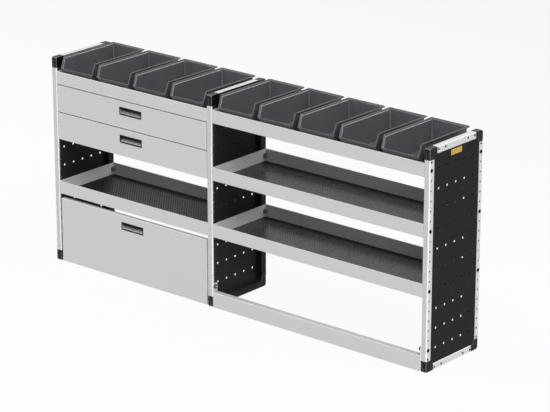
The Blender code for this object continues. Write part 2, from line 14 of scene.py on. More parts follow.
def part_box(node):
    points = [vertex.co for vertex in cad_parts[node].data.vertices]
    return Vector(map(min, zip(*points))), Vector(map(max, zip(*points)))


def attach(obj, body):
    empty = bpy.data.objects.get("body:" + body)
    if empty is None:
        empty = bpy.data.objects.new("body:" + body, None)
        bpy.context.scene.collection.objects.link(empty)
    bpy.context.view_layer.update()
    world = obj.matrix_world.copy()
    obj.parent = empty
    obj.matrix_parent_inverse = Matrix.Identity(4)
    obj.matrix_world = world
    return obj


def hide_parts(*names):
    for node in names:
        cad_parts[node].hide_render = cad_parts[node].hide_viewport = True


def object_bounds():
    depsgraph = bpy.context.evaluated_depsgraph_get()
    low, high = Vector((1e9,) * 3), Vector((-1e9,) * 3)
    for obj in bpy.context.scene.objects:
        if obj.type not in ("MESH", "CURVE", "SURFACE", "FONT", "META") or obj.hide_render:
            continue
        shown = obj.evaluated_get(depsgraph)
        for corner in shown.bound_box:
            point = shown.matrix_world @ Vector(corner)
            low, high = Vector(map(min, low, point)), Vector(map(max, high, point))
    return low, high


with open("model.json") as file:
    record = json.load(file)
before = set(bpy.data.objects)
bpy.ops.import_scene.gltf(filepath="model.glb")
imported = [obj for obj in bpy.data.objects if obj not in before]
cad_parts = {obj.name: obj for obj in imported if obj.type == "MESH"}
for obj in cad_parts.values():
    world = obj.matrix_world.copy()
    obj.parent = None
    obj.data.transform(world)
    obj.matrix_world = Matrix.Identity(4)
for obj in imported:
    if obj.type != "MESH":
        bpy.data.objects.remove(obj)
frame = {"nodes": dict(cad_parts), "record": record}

bl_info = {
    "name": "Van Racking Row",
    "version": (1, 0, 0),
    "blender": (4, 5, 0),
    "location": "View3D > Sidebar > Racking",
    "description": "Builds the finished look of a van racking row on its CAD frame",
    "category": "Object",
}

cad_low, cad_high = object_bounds()
mm = 0.001
sharp = math.radians(35)
flat_angle = math.radians(0.3)
corner_angle = math.radians(60)
least_slant = math.radians(21.5)
hardly_any = 0.1
widest_edge = 1.6 * mm
hair = 0.1 * mm
merge_distance = 0.01 * mm
seat = 0.3 * mm
overrun = 5 * mm

# Roundings of edges, from the slides and the plate to the kick rail
thin_edge = 0.3 * mm
fine_edge = 0.5 * mm
folded_edge = 0.6 * mm
thick_edge = 0.7 * mm

# Places read from the CAD nodes
frame_names = ("left", "mid", "right")
tray_names = ("left_top_tray", "left_shelf_tray", "right_top_tray", "right_upper_shelf_tray",
              "right_lower_shelf_tray")
mat_names = ("left_shelf_mat", "right_upper_shelf_mat", "right_lower_shelf_mat")
pull_bodies = {"upper_drawer_pull": "upper_drawer", "lower_drawer_pull": "lower_drawer", "flap_pull": "flap"}
bin_names = [name for name in frame["nodes"] if "_bin_" in name]
hole_pitch = 45 * mm
hole_rows = 19
first_hole_rise = 101 * mm
hole_edge = 12 * mm
end_inset = 8.5 * mm
rail_holes = (59 * mm, 108 * mm)
bolt_step = 6 * hole_pitch
kick_height = 72 * mm


class EndFrame:
    """The box of an end frame; across() measures from its outer face towards its open side."""

    def __init__(self, name):
        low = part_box(name + "_connector_bottom_front")[0]
        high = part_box(name + "_connector_top_rear")[1]
        self.name = name
        self.front, self.rear, self.bottom, self.top = low.y, high.y, low.z, high.z
        self.thick = high.x - low.x
        self.outer = high.x if name == "right" else low.x
        self.inward = -1 if name == "right" else 1
        self.outward_turn = (0, 0, 0) if name == "right" else (0, 0, math.pi)
        self.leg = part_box(name + "_front_upright")[0].z - low.z
        self.first_hole = low.z + first_hole_rise

    def across(self, distance):
        return self.outer + self.inward * distance

    def span(self, start, end):
        return sorted((self.across(start), self.across(end)))


# Settings shown in the sidebar

def length(name, description, default):
    return FloatProperty(name=name, description=description, default=default, min=0, unit="LENGTH")


def number(name, description, default, least=1):
    return IntProperty(name=name, description=description, default=default, min=least)


def angle(name, description, degrees):
    return FloatProperty(name=name, description=description, default=math.radians(degrees), unit="ROTATION")


def strength(name, description, default):
    return FloatProperty(name=name, description=description, default=default, min=0)


def tone(name, description, default):
    return FloatVectorProperty(name=name, description=description, default=default, size=3, min=0, max=1,
                               subtype="COLOR")


class ProfileSettings(bpy.types.PropertyGroup):
    width: length("Width", "Width of an upright or rail across the frame's plane", 30 * mm)
    wall: length("Wall", "Wall thickness of the aluminium profiles", 2 * mm)
    nose: length("Nose radius", "Rounding of a front upright's edges", 5 * mm)
    lip: length("Nose lip", "How far the nose's inner side turns back", 8 * mm)
    trim: length("Trim", "Width of the black trim along a rear upright", 5.5 * mm)
    hole: length("Hole radius", "Radius of the profile's holes", 4.5 * mm)
    chamber: length("Chamber", "Depth of the closed chamber behind the holes", 20 * mm)
    ridge: length("Ridge radius", "Rounding of a rail's outer edges", 2 * mm)
    soft: length("Edge softness", "Rounding of cut edges", 0.6 * mm)
    facets: number("Facets", "Sides of a round hole", 16, 6)


class PanelSettings(bpy.types.PropertyGroup):
    sheet: length("Sheet", "Thickness of the folded sheet", 1.5 * mm)
    recess: length("Recess", "How far the web lies behind the outer face", 1.5 * mm)
    corner: length("Corner radius", "Inner corner radius of the frame's opening", 12 * mm)
    hole: length("Hole radius", "Radius of the panel's holes", 5 * mm)
    column_edge: length("First column", "From the frame's front to the first column of holes", 66 * mm)
    columns: number("Columns", "Columns of holes", 5)
    rows: number("Rows", "Rows of holes", 10)


class ConnectorSettings(bpy.types.PropertyGroup):
    leg: length("Leg", "Length of each leg along the frame", 51 * mm)
    front: length("Front radius", "Outer corner radius at the front", 5 * mm)
    rear: length("Rear radius", "Outer corner radius at the rear", 13 * mm)
    nose: length("Nose radius", "Rounding of the nose's upright edges", 3.5 * mm)
    groove: length("Groove", "Width of the nose's groove", 9 * mm)
    depth: length("Groove depth", "Depth of the nose's groove", 2 * mm)
    soft: length("Edge rounding", "Rounding of the moulded edges", 1.2 * mm)
    spigot: length("Spigot", "How far a spigot reaches into a profile", 22 * mm)
    play: length("Spigot play", "Space between a spigot and the profile's wall", 2 * mm)


class BinSettings(bpy.types.PropertyGroup):
    rim: length("Rim", "Width of the turned-out rim", 10 * mm)
    front_rim: length("Front rim", "Width of the rim on the front lip", 5 * mm)
    drop: length("Rim drop", "Height of the rim's down-turned edge", 6 * mm)
    wall: length("Wall", "Wall thickness", 2 * mm)
    lip: length("Front lip", "Height of the low front", 72 * mm)
    nose: length("Nose set-back", "How far the sloping sides lean back", 21 * mm)
    flat: length("Rim flat", "Width of the rim's flat top", 3.5 * mm)
    flare: length("Flare", "How far the walls flare upwards to the rim", 8 * mm)
    bead: length("Bead", "Height of the bright bead at the flare's foot", 2.2 * mm)
    floor_round: length("Floor radius", "Rounding where the walls meet the floor", 4 * mm)
    edge: length("Rim edge", "Rounding of the rim's edges", 0.9 * mm)
    draft: length("Draft", "How far each wall leans in at the floor", 5 * mm)


class MatSettings(bpy.types.PropertyGroup):
    pitch: length("Stud pitch", "Distance between two studs of a row", 14.5 * mm)
    step: length("Row step", "Distance between two rows of studs", 8.5 * mm)
    stud: length("Stud radius", "Radius of a stud at its foot", 5.2 * mm)
    height: length("Stud height", "How far the studs stand out", 0.9 * mm)


class PullSettings(bpy.types.PropertyGroup):
    bezel: length("Bezel", "Width of the bezel's rim", 3.2 * mm)
    apron: length("Apron", "How much wider the bezel's rim is below", 3 * mm)
    plate: length("Bezel thickness", "Thickness of the bezel", 1.2 * mm)
    wall: length("Wall", "Wall thickness of the housing", 1.6 * mm)
    hook: length("Hook", "How far the upper edge reaches in", 2 * mm)


class FastenerSettings(bpy.types.PropertyGroup):
    head: length("Head radius", "Radius of the button heads", 8.5 * mm)
    height: length("Head height", "Height of the button heads", 3.5 * mm)
    screw: length("Screw radius", "Radius of the uprights' and rails' screws", 5.4 * mm)
    flange: length("Flange radius", "Radius of the nuts' flanges in the trays", 10.3 * mm)
    nut: length("Nut radius", "Radius of the nuts in the trays", 9.5 * mm)
    bolt: length("Bolt radius", "Radius of the bolts' ends in the trays", 4 * mm)


class FinishSettings(bpy.types.PropertyGroup):
    aluminium: tone("Aluminium", "Anodised profiles", (0.56, 0.56, 0.56))
    paint: tone("Silver paint", "Trays, fronts, flap and kick rail", (0.57, 0.57, 0.57))
    coat: tone("Black coat", "Perforated panels and the rear uprights' trim", (0.0085, 0.0085, 0.0087))
    nylon: tone("Nylon", "Connectors, pulls, bolt heads and screws", (0.0035, 0.0035, 0.0037))
    plastic: tone("Bin plastic", "Storage bins and nuts", (0.054, 0.054, 0.057))
    rubber: tone("Rubber", "Mats", (0.010, 0.010, 0.0104))
    zinc: tone("Zinc", "Slides, rod and the bolts' ends", (0.55, 0.56, 0.57))
    plate: tone("Plate", "Bare plate on the end panel", (0.46, 0.30, 0.03))


class StageSettings(bpy.types.PropertyGroup):
    azimuth: angle("Azimuth", "Camera's turn from the front", 40.26)
    elevation: angle("Elevation", "Camera's height above the horizon", 18.89)
    lens: FloatProperty(name="Lens", description="Focal length in millimetres", default=172.98, min=1)
    place: FloatVectorProperty(name="Camera place", description="Where the camera stands", size=3,
                               subtype="TRANSLATION", unit="LENGTH", default=(7.4004, -8.6167, 4.3515))
    ambient: strength("Ambient", "Strength of the room's light", 0.26)
    key: strength("Key light", "Strength of the large key light", 3.3)
    rim: strength("Rim light", "Strength of the light from behind", 0.85)
    fill: strength("Fill light", "Strength of the light from the left", 0.70)
    low: strength("Low light", "Strength of the low light from the front right", 0.75)
    backdrop: tone("Backdrop", "What the camera sees behind the row", (0.96, 0.96, 0.96))


setting_groups = {
    "rack_profiles": ProfileSettings, "rack_panels": PanelSettings, "rack_connectors": ConnectorSettings,
    "rack_bins": BinSettings, "rack_mats": MatSettings, "rack_pulls": PullSettings,
    "rack_fasteners": FastenerSettings, "rack_finishes": FinishSettings, "rack_stage": StageSettings,
}


def settings(group):
    return getattr(bpy.context.scene, "rack_" + group)


# Finishes

class Finish:
    """A procedural material under construction, in shades of one of the sidebar's colours."""

    def __init__(self, name, colour, metallic=0.0, specular=0.5):
        self.colour = tuple(getattr(settings("finishes"), colour))
        self.material = bpy.data.materials.new(name)
        self.material.use_nodes = True
        self.tree = self.material.node_tree
        self.shader = self.tree.nodes["Principled BSDF"]
        self.shader.inputs["Metallic"].default_value = metallic
        self.shader.inputs["Specular IOR Level"].default_value = specular
        self.place = self.tree.nodes.new("ShaderNodeTexCoord").outputs["Object"]

    def feed(self, socket, value):
        """Links a socket to another one, or sets its plain value."""
        if isinstance(value, bpy.types.NodeSocket):
            self.tree.links.new(value, socket)
        else:
            socket.default_value = value

    def node(self, kind, **inputs):
        made = self.tree.nodes.new(kind)
        for name, value in inputs.items():
            self.feed(made.inputs[name.replace("_", " ")], value)
        return made

    def shade(self, factor=1.0):
        return [*(min(1.0, channel * factor) for channel in self.colour), 1]

    def along(self, axis, turn=0.0):
        """A coordinate of the object's own space, after a turn about Z in degrees."""
        turned_place = self.node("ShaderNodeMapping", Vector=self.place, Rotation=(0, 0, math.radians(turn)))
        return self.node("ShaderNodeSeparateXYZ", Vector=turned_place.outputs["Vector"]).outputs[axis]

    def noise(self, scale, detail=3.0, stretch=(1, 1, 1)):
        place = self.node("ShaderNodeMapping", Vector=self.place, Scale=stretch).outputs["Vector"]
        return self.node("ShaderNodeTexNoise", Vector=place, Scale=scale, Detail=detail).outputs["Fac"]

    def ranged(self, value, low, high, start=0.3, end=0.7):
        return self.node("ShaderNodeMapRange", Value=value, From_Min=start, From_Max=end,
                         To_Min=low, To_Max=high).outputs["Result"]

    def between(self, share, dark, light):
        """A colour between two, each a shade or a socket."""
        mix = self.tree.nodes.new("ShaderNodeMix")
        mix.data_type = "RGBA"
        for socket, value in ((mix.inputs["Factor"], share), (mix.inputs[6], dark), (mix.inputs[7], light)):
            self.feed(socket, value)
        return mix.outputs[2]

    def math(self, operation, one, two):
        made = self.tree.nodes.new("ShaderNodeMath")
        made.operation = operation
        made.use_clamp = True
        self.feed(made.inputs[0], one)
        self.feed(made.inputs[1], two)
        return made.outputs[0]

    def rubbed_and_lit(self, body, noise, shade, most, start, end):
        """Rubs in another shade, at most to a share, where the noise rises through a range."""
        return self.between(self.ranged(noise, 0.0, most, start, end), body, self.shade(shade))

    def marked(self, attribute, body, colour):
        """Another colour where the piece's own attribute says so, thinner in patches."""
        mark = self.node("ShaderNodeAttribute")
        mark.attribute_name = attribute
        patches = self.ranged(self.noise(60.0, 5.0), 0.55, 1.0)
        return self.between(self.math("MULTIPLY", mark.outputs["Fac"], patches), body, colour)

    def complete(self, colour, roughness, relief=None, strength=0.0):
        """Sets the shader's colour, roughness and relief, and gives the material."""
        self.feed(self.shader.inputs["Base Color"], colour)
        self.feed(self.shader.inputs["Roughness"], roughness)
        if relief is not None:
            deepest = 0.2 * mm
            bump = self.node("ShaderNodeBump", Height=relief, Strength=strength, Distance=deepest)
            self.feed(self.shader.inputs["Normal"], bump.outputs["Normal"])
        return self.material


def anodised_finish(name, along):
    """Extruded aluminium: die lines run along the profile, with a few lighter rubs and a painted highlight
    on the rounded edges.
    """
    finish = Finish(name, "aluminium", metallic=0.45)
    fine, drawn_out = 900, 10
    grain = finish.noise(1.0, 4.0, [drawn_out if axis == along else fine for axis in "XYZ"])
    body = finish.between(finish.noise(7.0), finish.shade(0.96), finish.shade(1.03))
    rubbed_and_lit = finish.rubbed_and_lit(body, finish.noise(55.0, 6.0), shade=1.10, most=0.6, start=0.62, end=0.75)
    highlighted = finish.marked("edge", rubbed_and_lit, finish.shade(1.85))
    return finish.complete(highlighted, finish.ranged(grain, 0.34, 0.46), grain, 0.06)


def paint_finish():
    """Satin powder paint: a slight orange peel, faint clouds, a few dull rubs, painted shade where marked
    and a painted highlight on the rounded edges.
    """
    finish = Finish("silver_paint_finish", "paint")
    finish.shader.inputs["Coat Weight"].default_value = 0.08
    finish.shader.inputs["Coat Roughness"].default_value = 0.35
    peel = finish.noise(650.0, 2.0)
    body = finish.between(finish.noise(4.0), finish.shade(0.975), finish.shade(1.02))
    rubbed_and_lit = finish.rubbed_and_lit(body, finish.noise(38.0, 8.0), shade=0.90, most=0.5, start=0.66, end=0.80)
    shaded = finish.marked("grime", rubbed_and_lit, finish.shade(0.65))
    highlighted = finish.marked("edge", shaded, finish.shade(1.50))
    return finish.complete(highlighted, finish.ranged(finish.noise(18.0), 0.40, 0.52), peel, 0.07)


def coat_finish():
    """Fine-textured black powder coat with a few dusty rubs, lighter on the left and middle panels, and a
    painted highlight on the rounded edges.
    """
    finish = Finish("black_coat_finish", "coat", specular=0.08)
    texture = finish.noise(1100.0, 2.0)
    lighter_share = finish.ranged(finish.along("X"), 1.0, 0.0, start=0.8, end=1.0)
    lighter_left = finish.between(lighter_share, finish.shade(), finish.shade(2.2))
    rubbed_and_lit = finish.rubbed_and_lit(lighter_left, finish.noise(26.0, 8.0), shade=2.4, most=0.7, start=0.60, end=0.78)
    # Painted highlight on the rounded edges
    highlighted = finish.marked("edge", rubbed_and_lit, finish.shade(9.0))
    return finish.complete(highlighted, finish.ranged(texture, 0.46, 0.62), texture, 0.18)


def nylon_finish():
    """Spark-eroded moulded nylon: fine grain, slightly polished where hands touch it, with a painted
    highlight on the pulls' sills and on the rounded edges.
    """
    finish = Finish("black_nylon_finish", "nylon", specular=0.14)
    grain = finish.noise(1500.0, 2.0)
    touch = finish.noise(45.0, 4.0)
    handled = finish.rubbed_and_lit(finish.shade(), touch, shade=1.5, most=0.8, start=0.52, end=0.75)
    sill_lit = finish.marked("sill", handled, finish.shade(150.0))
    highlighted = finish.marked("edge", sill_lit, finish.shade(45.0))
    return finish.complete(highlighted, finish.ranged(touch, 0.36, 0.24), grain, 0.14)


def bin_finish():
    """Dark moulded polypropylene: leather-like grain, flow clouds, pale scuffs, painted shade on the flares
    and painted highlights on the rim's edges.
    """
    finish = Finish("bin_plastic_finish", "plastic")
    grain = finish.noise(800.0, 3.0)
    flow = finish.noise(14.0, 4.0, (1, 1, 0.4))
    body = finish.between(flow, finish.shade(0.90), finish.shade(1.12))
    scuffs = finish.noise(70.0, 9.0, (1, 0.25, 1))
    scuffed = finish.rubbed_and_lit(body, scuffs, shade=1.5, most=0.55, start=0.63, end=0.80)
    shaded = finish.marked("grime", scuffed, finish.shade(0.35))
    highlighted = finish.marked("edge", shaded, finish.shade(9.0))
    return finish.complete(highlighted, finish.ranged(flow, 0.36, 0.48), grain, 0.10)


def rubber_finish():
    """Rubber with a waxy sheen: dull in front and in the left bay; along the back and in a slanting strip at
    the left end it is dull and darkened by painted shade.

    The studs' tops carry a painted highlight, strongest in the left bay."""
    finish = Finish("rubber_mat_finish", "rubber", specular=0.45)
    grain = finish.noise(700.0, 2.0)
    lighter_share = finish.noise(9.0, 6.0)
    deep = finish.along("Y")
    left = finish.ranged(finish.along("X"), 1.0, 0.0, start=-0.18, end=-0.13)
    slanting = finish.ranged(finish.along("X", turn=-40), 1.0, 0.0, start=-0.75, end=-0.69)
    # Painted shade along the back wall and in a slanting strip at the left end
    dark = finish.math("ADD", finish.ranged(deep, 0.0, 1.0, start=0.125, end=0.160), slanting)
    body = finish.rubbed_and_lit(finish.shade(), lighter_share, shade=1.5, most=0.5, start=0.5, end=0.8)
    # Painted highlight on the studs' tops, lighter in the left bay
    highlighted = finish.marked("edge", body, finish.between(left, finish.shade(9.0), finish.shade(14.0)))
    roughness = finish.ranged(lighter_share, 0.19, 0.27)
    for more in (finish.ranged(deep, 0.20, 0.0, start=-0.17, end=0.05),
                 finish.ranged(left, 0.0, 0.4, start=0.0, end=1.0),
                 finish.ranged(dark, 0.0, 0.7, start=0.0, end=1.0)):
        roughness = finish.math("ADD", roughness, more)
    return finish.complete(finish.between(dark, highlighted, finish.shade(0.1)), roughness, grain, 0.08)


def zinc_finish():
    """Bright zinc plate with a fine spangle."""
    finish = Finish("zinc_plate_finish", "zinc", metallic=0.95)
    spangle = finish.node("ShaderNodeTexVoronoi", Vector=finish.place, Scale=260.0).outputs["Distance"]
    share = finish.ranged(spangle, 0.0, 1.0, start=0.0, end=0.8)
    colour = finish.between(share, finish.shade(0.85), finish.shade(1.1))
    return finish.complete(colour, finish.ranged(finish.noise(120.0), 0.25, 0.42), finish.noise(900.0), 0.05)


def plate_finish():
    """Yellow foil on a bare plate."""
    finish = Finish("yellow_plate_finish", "plate", metallic=0.2)
    cloud = finish.noise(240.0, 4.0)
    colour = finish.between(cloud, finish.shade(0.5), finish.shade(1.4))
    return finish.complete(colour, finish.ranged(cloud, 0.30, 0.45))


finish_makers = {
    "upright": lambda: anodised_finish("anodised_upright_finish", "Z"),
    "rail": lambda: anodised_finish("anodised_rail_finish", "Y"),
    "paint": paint_finish, "coat": coat_finish, "nylon": nylon_finish, "plastic": bin_finish,
    "rubber": rubber_finish, "zinc": zinc_finish, "plate": plate_finish,
}
made_finishes = {}


def finish_for(name):
    if name not in made_finishes:
        made_finishes[name] = finish_makers[name]()
    return made_finishes[name]


# Mesh helpers

def add_object(name, mesh):
    made = bpy.data.objects.new(name, mesh)
    bpy.context.scene.collection.objects.link(made)
    return made


def mesh_from(shape, name, outwards=True):
    if outwards:
        bmesh.ops.recalc_face_normals(shape, faces=shape.faces)
    mesh = bpy.data.meshes.new(name)
    shape.to_mesh(mesh)
    shape.free()
    return mesh


def object_from(shape, name, outwards=True):
    return add_object(name, mesh_from(shape, name, outwards))


@contextmanager
def edited(made):
    """The object's mesh, opened for changes and written back after them."""
    shape = bmesh.new()
    shape.from_mesh(made.data)
    yield shape
    shape.to_mesh(made.data)
    shape.free()


def dissolve_flat(shape):
    bmesh.ops.dissolve_limit(shape, angle_limit=flat_angle, verts=shape.verts, edges=shape.edges)


def bevel_edges(shape, edges, width, segments):
    bmesh.ops.bevel(shape, geom=edges, offset=width, offset_type="OFFSET", segments=segments, profile=0.5,
                    affect="EDGES")


def split_at(shape, place, normal, clear_outer=False):
    everything = list(shape.verts) + list(shape.edges) + list(shape.faces)
    bmesh.ops.bisect_plane(shape, geom=everything, plane_co=place, plane_no=normal, clear_outer=clear_outer)


def rounded(corners, steps=6):
    """A closed outline from (a, b, radius) corners."""
    points = []
    for index, (a, b, radius) in enumerate(corners):
        here = Vector((a, b))
        if radius <= 0:
            points.append(here)
            continue
        before = (Vector(corners[index - 1][:2]) - here).normalized()
        after = (Vector(corners[(index + 1) % len(corners)][:2]) - here).normalized()
        half = before.angle(after) / 2
        centre = here + (before + after).normalized() * (radius / math.sin(half))
        start = here + before * (radius / math.tan(half)) - centre
        sweep = start.angle_signed(here + after * (radius / math.tan(half)) - centre)
        points += [centre + Matrix.Rotation(-sweep * i / steps, 2) @ start for i in range(steps + 1)]
    return points


def rounded_box(a0, b0, a1, b1, radius=0):
    return rounded([(a0, b0, radius), (a1, b0, radius), (a1, b1, radius), (a0, b1, radius)])


def spread(axis, point, depth):
    """A point of an outline at a depth: (y, z) along X, (x, z) along Y, (x, y) along Z."""
    return Vector({"X": (depth, point[0], point[1]), "Y": (point[0], depth, point[1]),
                   "Z": (point[0], point[1], depth)}[axis])


def prism(name, outline, axis, start, end):
    """An outline made solid between two depths."""
    shape = bmesh.new()
    rings = [[shape.verts.new(spread(axis, point, depth)) for point in outline] for depth in (start, end)]
    for ring in rings:
        shape.faces.new(ring)
    for index in range(len(outline)):
        shape.faces.new((rings[0][index - 1], rings[0][index], rings[1][index], rings[1][index - 1]))
    return object_from(shape, name)


def block(name, low, high):
    return prism(name, rounded_box(low[1], low[2], high[1], high[2]), "X", low[0], high[0])


def settle(made):
    """Turns the object's modifiers into its plain mesh."""
    bpy.context.view_layer.update()
    evaluated = made.evaluated_get(bpy.context.evaluated_depsgraph_get())
    mesh = bpy.data.meshes.new_from_object(evaluated)
    made.modifiers.clear()
    old, made.data = made.data, mesh
    mesh.name = made.name
    if old.users == 0:
        bpy.data.meshes.remove(old)
    return made


def combine(made, other, operation):
    """Joins or cuts another solid, which is used up."""
    change = made.modifiers.new("shape", "BOOLEAN")
    change.operation = operation
    change.solver = "EXACT"
    change.object = other
    settle(made)
    bpy.data.objects.remove(other, do_unlink=True)
    return made


def read_array(collection, key, width=1, kind=numpy.float32):
    values = numpy.empty(width * len(collection), dtype=kind)
    collection.foreach_get(key, values)
    return values.reshape(-1, width) if width > 1 else values


def read_indices(collection, key, width=1):
    return read_array(collection, key, width, numpy.int32)


def face_facts(mesh):
    """The faces' normals, centres and widths, and whether each looks along none of the axes."""
    ends = read_array(mesh.vertices, "co", 3)[read_indices(mesh.edges, "vertices", 2)]
    lengths = numpy.linalg.norm(ends[:, 0] - ends[:, 1], axis=1)[read_indices(mesh.loops, "edge_index")]
    round_the_face = numpy.add.reduceat(lengths, read_indices(mesh.polygons, "loop_start"))
    normals = read_array(mesh.polygons, "normal", 3)
    slanted = numpy.abs(normals).max(axis=1) < math.cos(least_slant)
    return (normals, read_array(mesh.polygons, "center", 3),
            2 * read_array(mesh.polygons, "area") / round_the_face, slanted)


def set_corners(mesh, attribute, shares):
    """Sets an attribute of the mesh from one value for each face corner."""
    layer = mesh.attributes.get(attribute) or mesh.attributes.new(attribute, "FLOAT", "CORNER")
    layer.data.foreach_set("value", shares.astype(numpy.float32))


def mark_faces(mesh, attribute, shares):
    """Sets an attribute of the mesh from one value for each face."""
    set_corners(mesh, attribute, numpy.repeat(shares, read_indices(mesh.polygons, "loop_total")))


def mark_edges(mesh, drilled):
    """An edge attribute for a painted highlight: 1 on rounded edges, which are narrow and look along none of
    the axes, else 0.
    """
    normals, _, widths, slanted = face_facts(mesh)
    marked = slanted & (widths < widest_edge)
    if drilled:
        marked &= numpy.abs(normals[:, 0]) > hardly_any
    mark_faces(mesh, "edge", marked)


def mark_height(mesh, attribute, start, end, behind=-1):
    """An attribute that rises from 0 to 1 between two heights, behind a place in Y."""
    places = read_array(mesh.vertices, "co", 3)[read_indices(mesh.loops, "vertex_index")]
    share = numpy.clip((places[:, 2] - start) / (end - start), 0, 1) * (places[:, 1] > behind)
    set_corners(mesh, attribute, share)


def soften(made, width, drilled=False):
    """Rounds the sharp edges, keeps flat faces flat under smooth shading and marks the rounded edges for a
    painted highlight.

    The round holes of a drilled piece stay unmarked."""
    with edited(made) as shape:
        bmesh.ops.remove_doubles(shape, verts=shape.verts, dist=merge_distance)
        dissolve_flat(shape)
    if width > 0:
        bevel = made.modifiers.new("soft_edges", "BEVEL")
        bevel.width = width
        bevel.segments = 2
        bevel.limit_method = "ANGLE"
        bevel.angle_limit = sharp
        settle(made)
    made.data.shade_smooth()
    made.data.set_sharp_from_angle(angle=sharp)
    weighted = made.modifiers.new("flat_faces", "WEIGHTED_NORMAL")
    weighted.mode = "FACE_AREA"
    weighted.weight = 100
    weighted.keep_sharp = True
    settle(made)
    mark_edges(made.data, drilled)
    return made


def round_nose(made, radius, behind, segments=4):
    """Rounds the sharp edges that stand at right angles to X and lie in front of a place in Y."""
    with edited(made) as shape:
        dissolve_flat(shape)
        edges = [e for e in shape.edges if e.calc_face_angle(0) > corner_angle
                 and all(v.co.y < behind for v in e.verts)
                 and abs(e.verts[0].co.x - e.verts[1].co.x) < hair]
        bevel_edges(shape, edges, radius, segments)


def present(made, finish, body, slot, *nodes):
    """Gives a finished piece its material and body, and hides the CAD nodes that it stands for; the slot is
    not used.
    """
    made.data.materials.clear()
    made.data.materials.append(finish_for(finish))
    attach(made, body)
    if nodes:
        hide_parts(*nodes)
    return made


def body_of_node(node):
    return next(body for body, nodes in frame["record"]["behaviour"]["bodies"].items() if node in nodes)


def copy_of_node(node, name):
    """A merged copy of a CAD node's mesh."""
    shape = bmesh.new()
    shape.from_mesh(frame["nodes"][node].data)
    bmesh.ops.remove_doubles(shape, verts=shape.verts, dist=merge_distance)
    return object_from(shape, name, outwards=False)


def dress_copy(node, finish, slot, width):
    """Stands a copy with softened edges in a CAD node's place."""
    made = soften(copy_of_node(node, node + "_dressed"), width)
    return present(made, finish, body_of_node(node), slot, node)


def repaint(node, finish):
    """Keeps a CAD node and gives it a procedural finish."""
    node_object = frame["nodes"][node]
    node_object.data.materials.clear()
    node_object.data.materials.append(finish_for(finish))


# Geometry Nodes: drilled rows, rows of fasteners and studs

def new_tree(name, inputs):
    tree = bpy.data.node_groups.new(name, "GeometryNodeTree")
    tree.interface.new_socket("Geometry", in_out="INPUT", socket_type="NodeSocketGeometry")
    for label, kind in inputs:
        tree.interface.new_socket(label, in_out="INPUT", socket_type="NodeSocket" + kind)
    tree.interface.new_socket("Geometry", in_out="OUTPUT", socket_type="NodeSocketGeometry")
    return tree, tree.nodes.new("NodeGroupInput"), tree.nodes.new("NodeGroupOutput")


def tree_node(tree, kind, links=(), **values):
    made = tree.nodes.new(kind)
    for name, value in values.items():
        setattr(made, name, value)
    for socket, source in links:
        tree.links.new(source, made.inputs[socket])
    return made


def finish_tree(tree, given, out, geometry):
    """Every tree ends in Realize Instances and Set Material."""
    real = tree_node(tree, "GeometryNodeRealizeInstances", [("Geometry", geometry)])
    painted = tree_node(tree, "GeometryNodeSetMaterial", [("Geometry", real.outputs[0]),
                                                          ("Material", given.outputs["Material"])])
    tree.links.new(painted.outputs[0], out.inputs["Geometry"])


def repeated(tree, piece, points, turn=None):
    """The piece on every point, turned about its own origin."""
    links = [("Points", points), ("Instance", piece)] + ([("Rotation", turn)] if turn else [])
    return tree_node(tree, "GeometryNodeInstanceOnPoints", links).outputs[0]


def drilled_tree():
    """Cuts rows and columns of round holes, all along one direction, out of a solid."""
    tree, given, out = new_tree("drilled_rows", (
        ("Hole Radius", "Float"), ("Drill Length", "Float"), ("Facets", "Int"), ("Start", "Vector"),
        ("Columns", "Int"), ("Column Step", "Vector"), ("Rows", "Int"), ("Row Step", "Vector"),
        ("Turn", "Rotation"), ("Material", "Material")))
    get = given.outputs
    columns = tree_node(tree, "GeometryNodeMeshLine",
                        [("Count", get["Columns"]), ("Offset", get["Column Step"])])
    rows = tree_node(tree, "GeometryNodeMeshLine",
                     [("Count", get["Rows"]), ("Start Location", get["Start"]), ("Offset", get["Row Step"])])
    grid = repeated(tree, columns.outputs[0], rows.outputs[0])
    places = tree_node(tree, "GeometryNodeRealizeInstances", [("Geometry", grid)])
    drill = tree_node(tree, "GeometryNodeMeshCylinder",
                      [("Vertices", get["Facets"]), ("Radius", get["Hole Radius"]),
                       ("Depth", get["Drill Length"])])
    drills = repeated(tree, drill.outputs["Mesh"], places.outputs[0], get["Turn"])
    solid = tree_node(tree, "GeometryNodeRealizeInstances", [("Geometry", drills)])
    cut = tree_node(tree, "GeometryNodeMeshBoolean",
                    [("Mesh 1", get["Geometry"]), ("Mesh 2", solid.outputs[0])],
                    operation="DIFFERENCE", solver="EXACT")
    finish_tree(tree, given, out, cut.outputs["Mesh"])
    return tree


def row_tree():
    """Repeats a small piece along a line."""
    tree, given, out = new_tree("row_of_pieces", (
        ("Count", "Int"), ("Start", "Vector"), ("Step", "Vector"), ("Turn", "Rotation"),
        ("Material", "Material")))
    get = given.outputs
    line = tree_node(tree, "GeometryNodeMeshLine",
                     [("Count", get["Count"]), ("Start Location", get["Start"]), ("Offset", get["Step"])])
    finish_tree(tree, given, out, repeated(tree, get["Geometry"], line.outputs[0], get["Turn"]))
    return tree


tree_makers = {"drilled": drilled_tree, "row": row_tree}
made_trees = {}


def run_tree(made, kind, **values):
    """Runs a tree on an object with its inputs set by the sockets' identifiers, and keeps the plain mesh."""
    if kind not in made_trees:
        made_trees[kind] = tree_makers[kind]()
    tree = made_trees[kind]
    change = made.modifiers.new(kind, "NODES")
    change.node_group = tree
    for socket in tree.interface.items_tree:
        key = socket.name.lower().replace(" ", "_")
        if socket.in_out == "INPUT" and key in values:
            change[socket.identifier] = values[key]
    return settle(made)


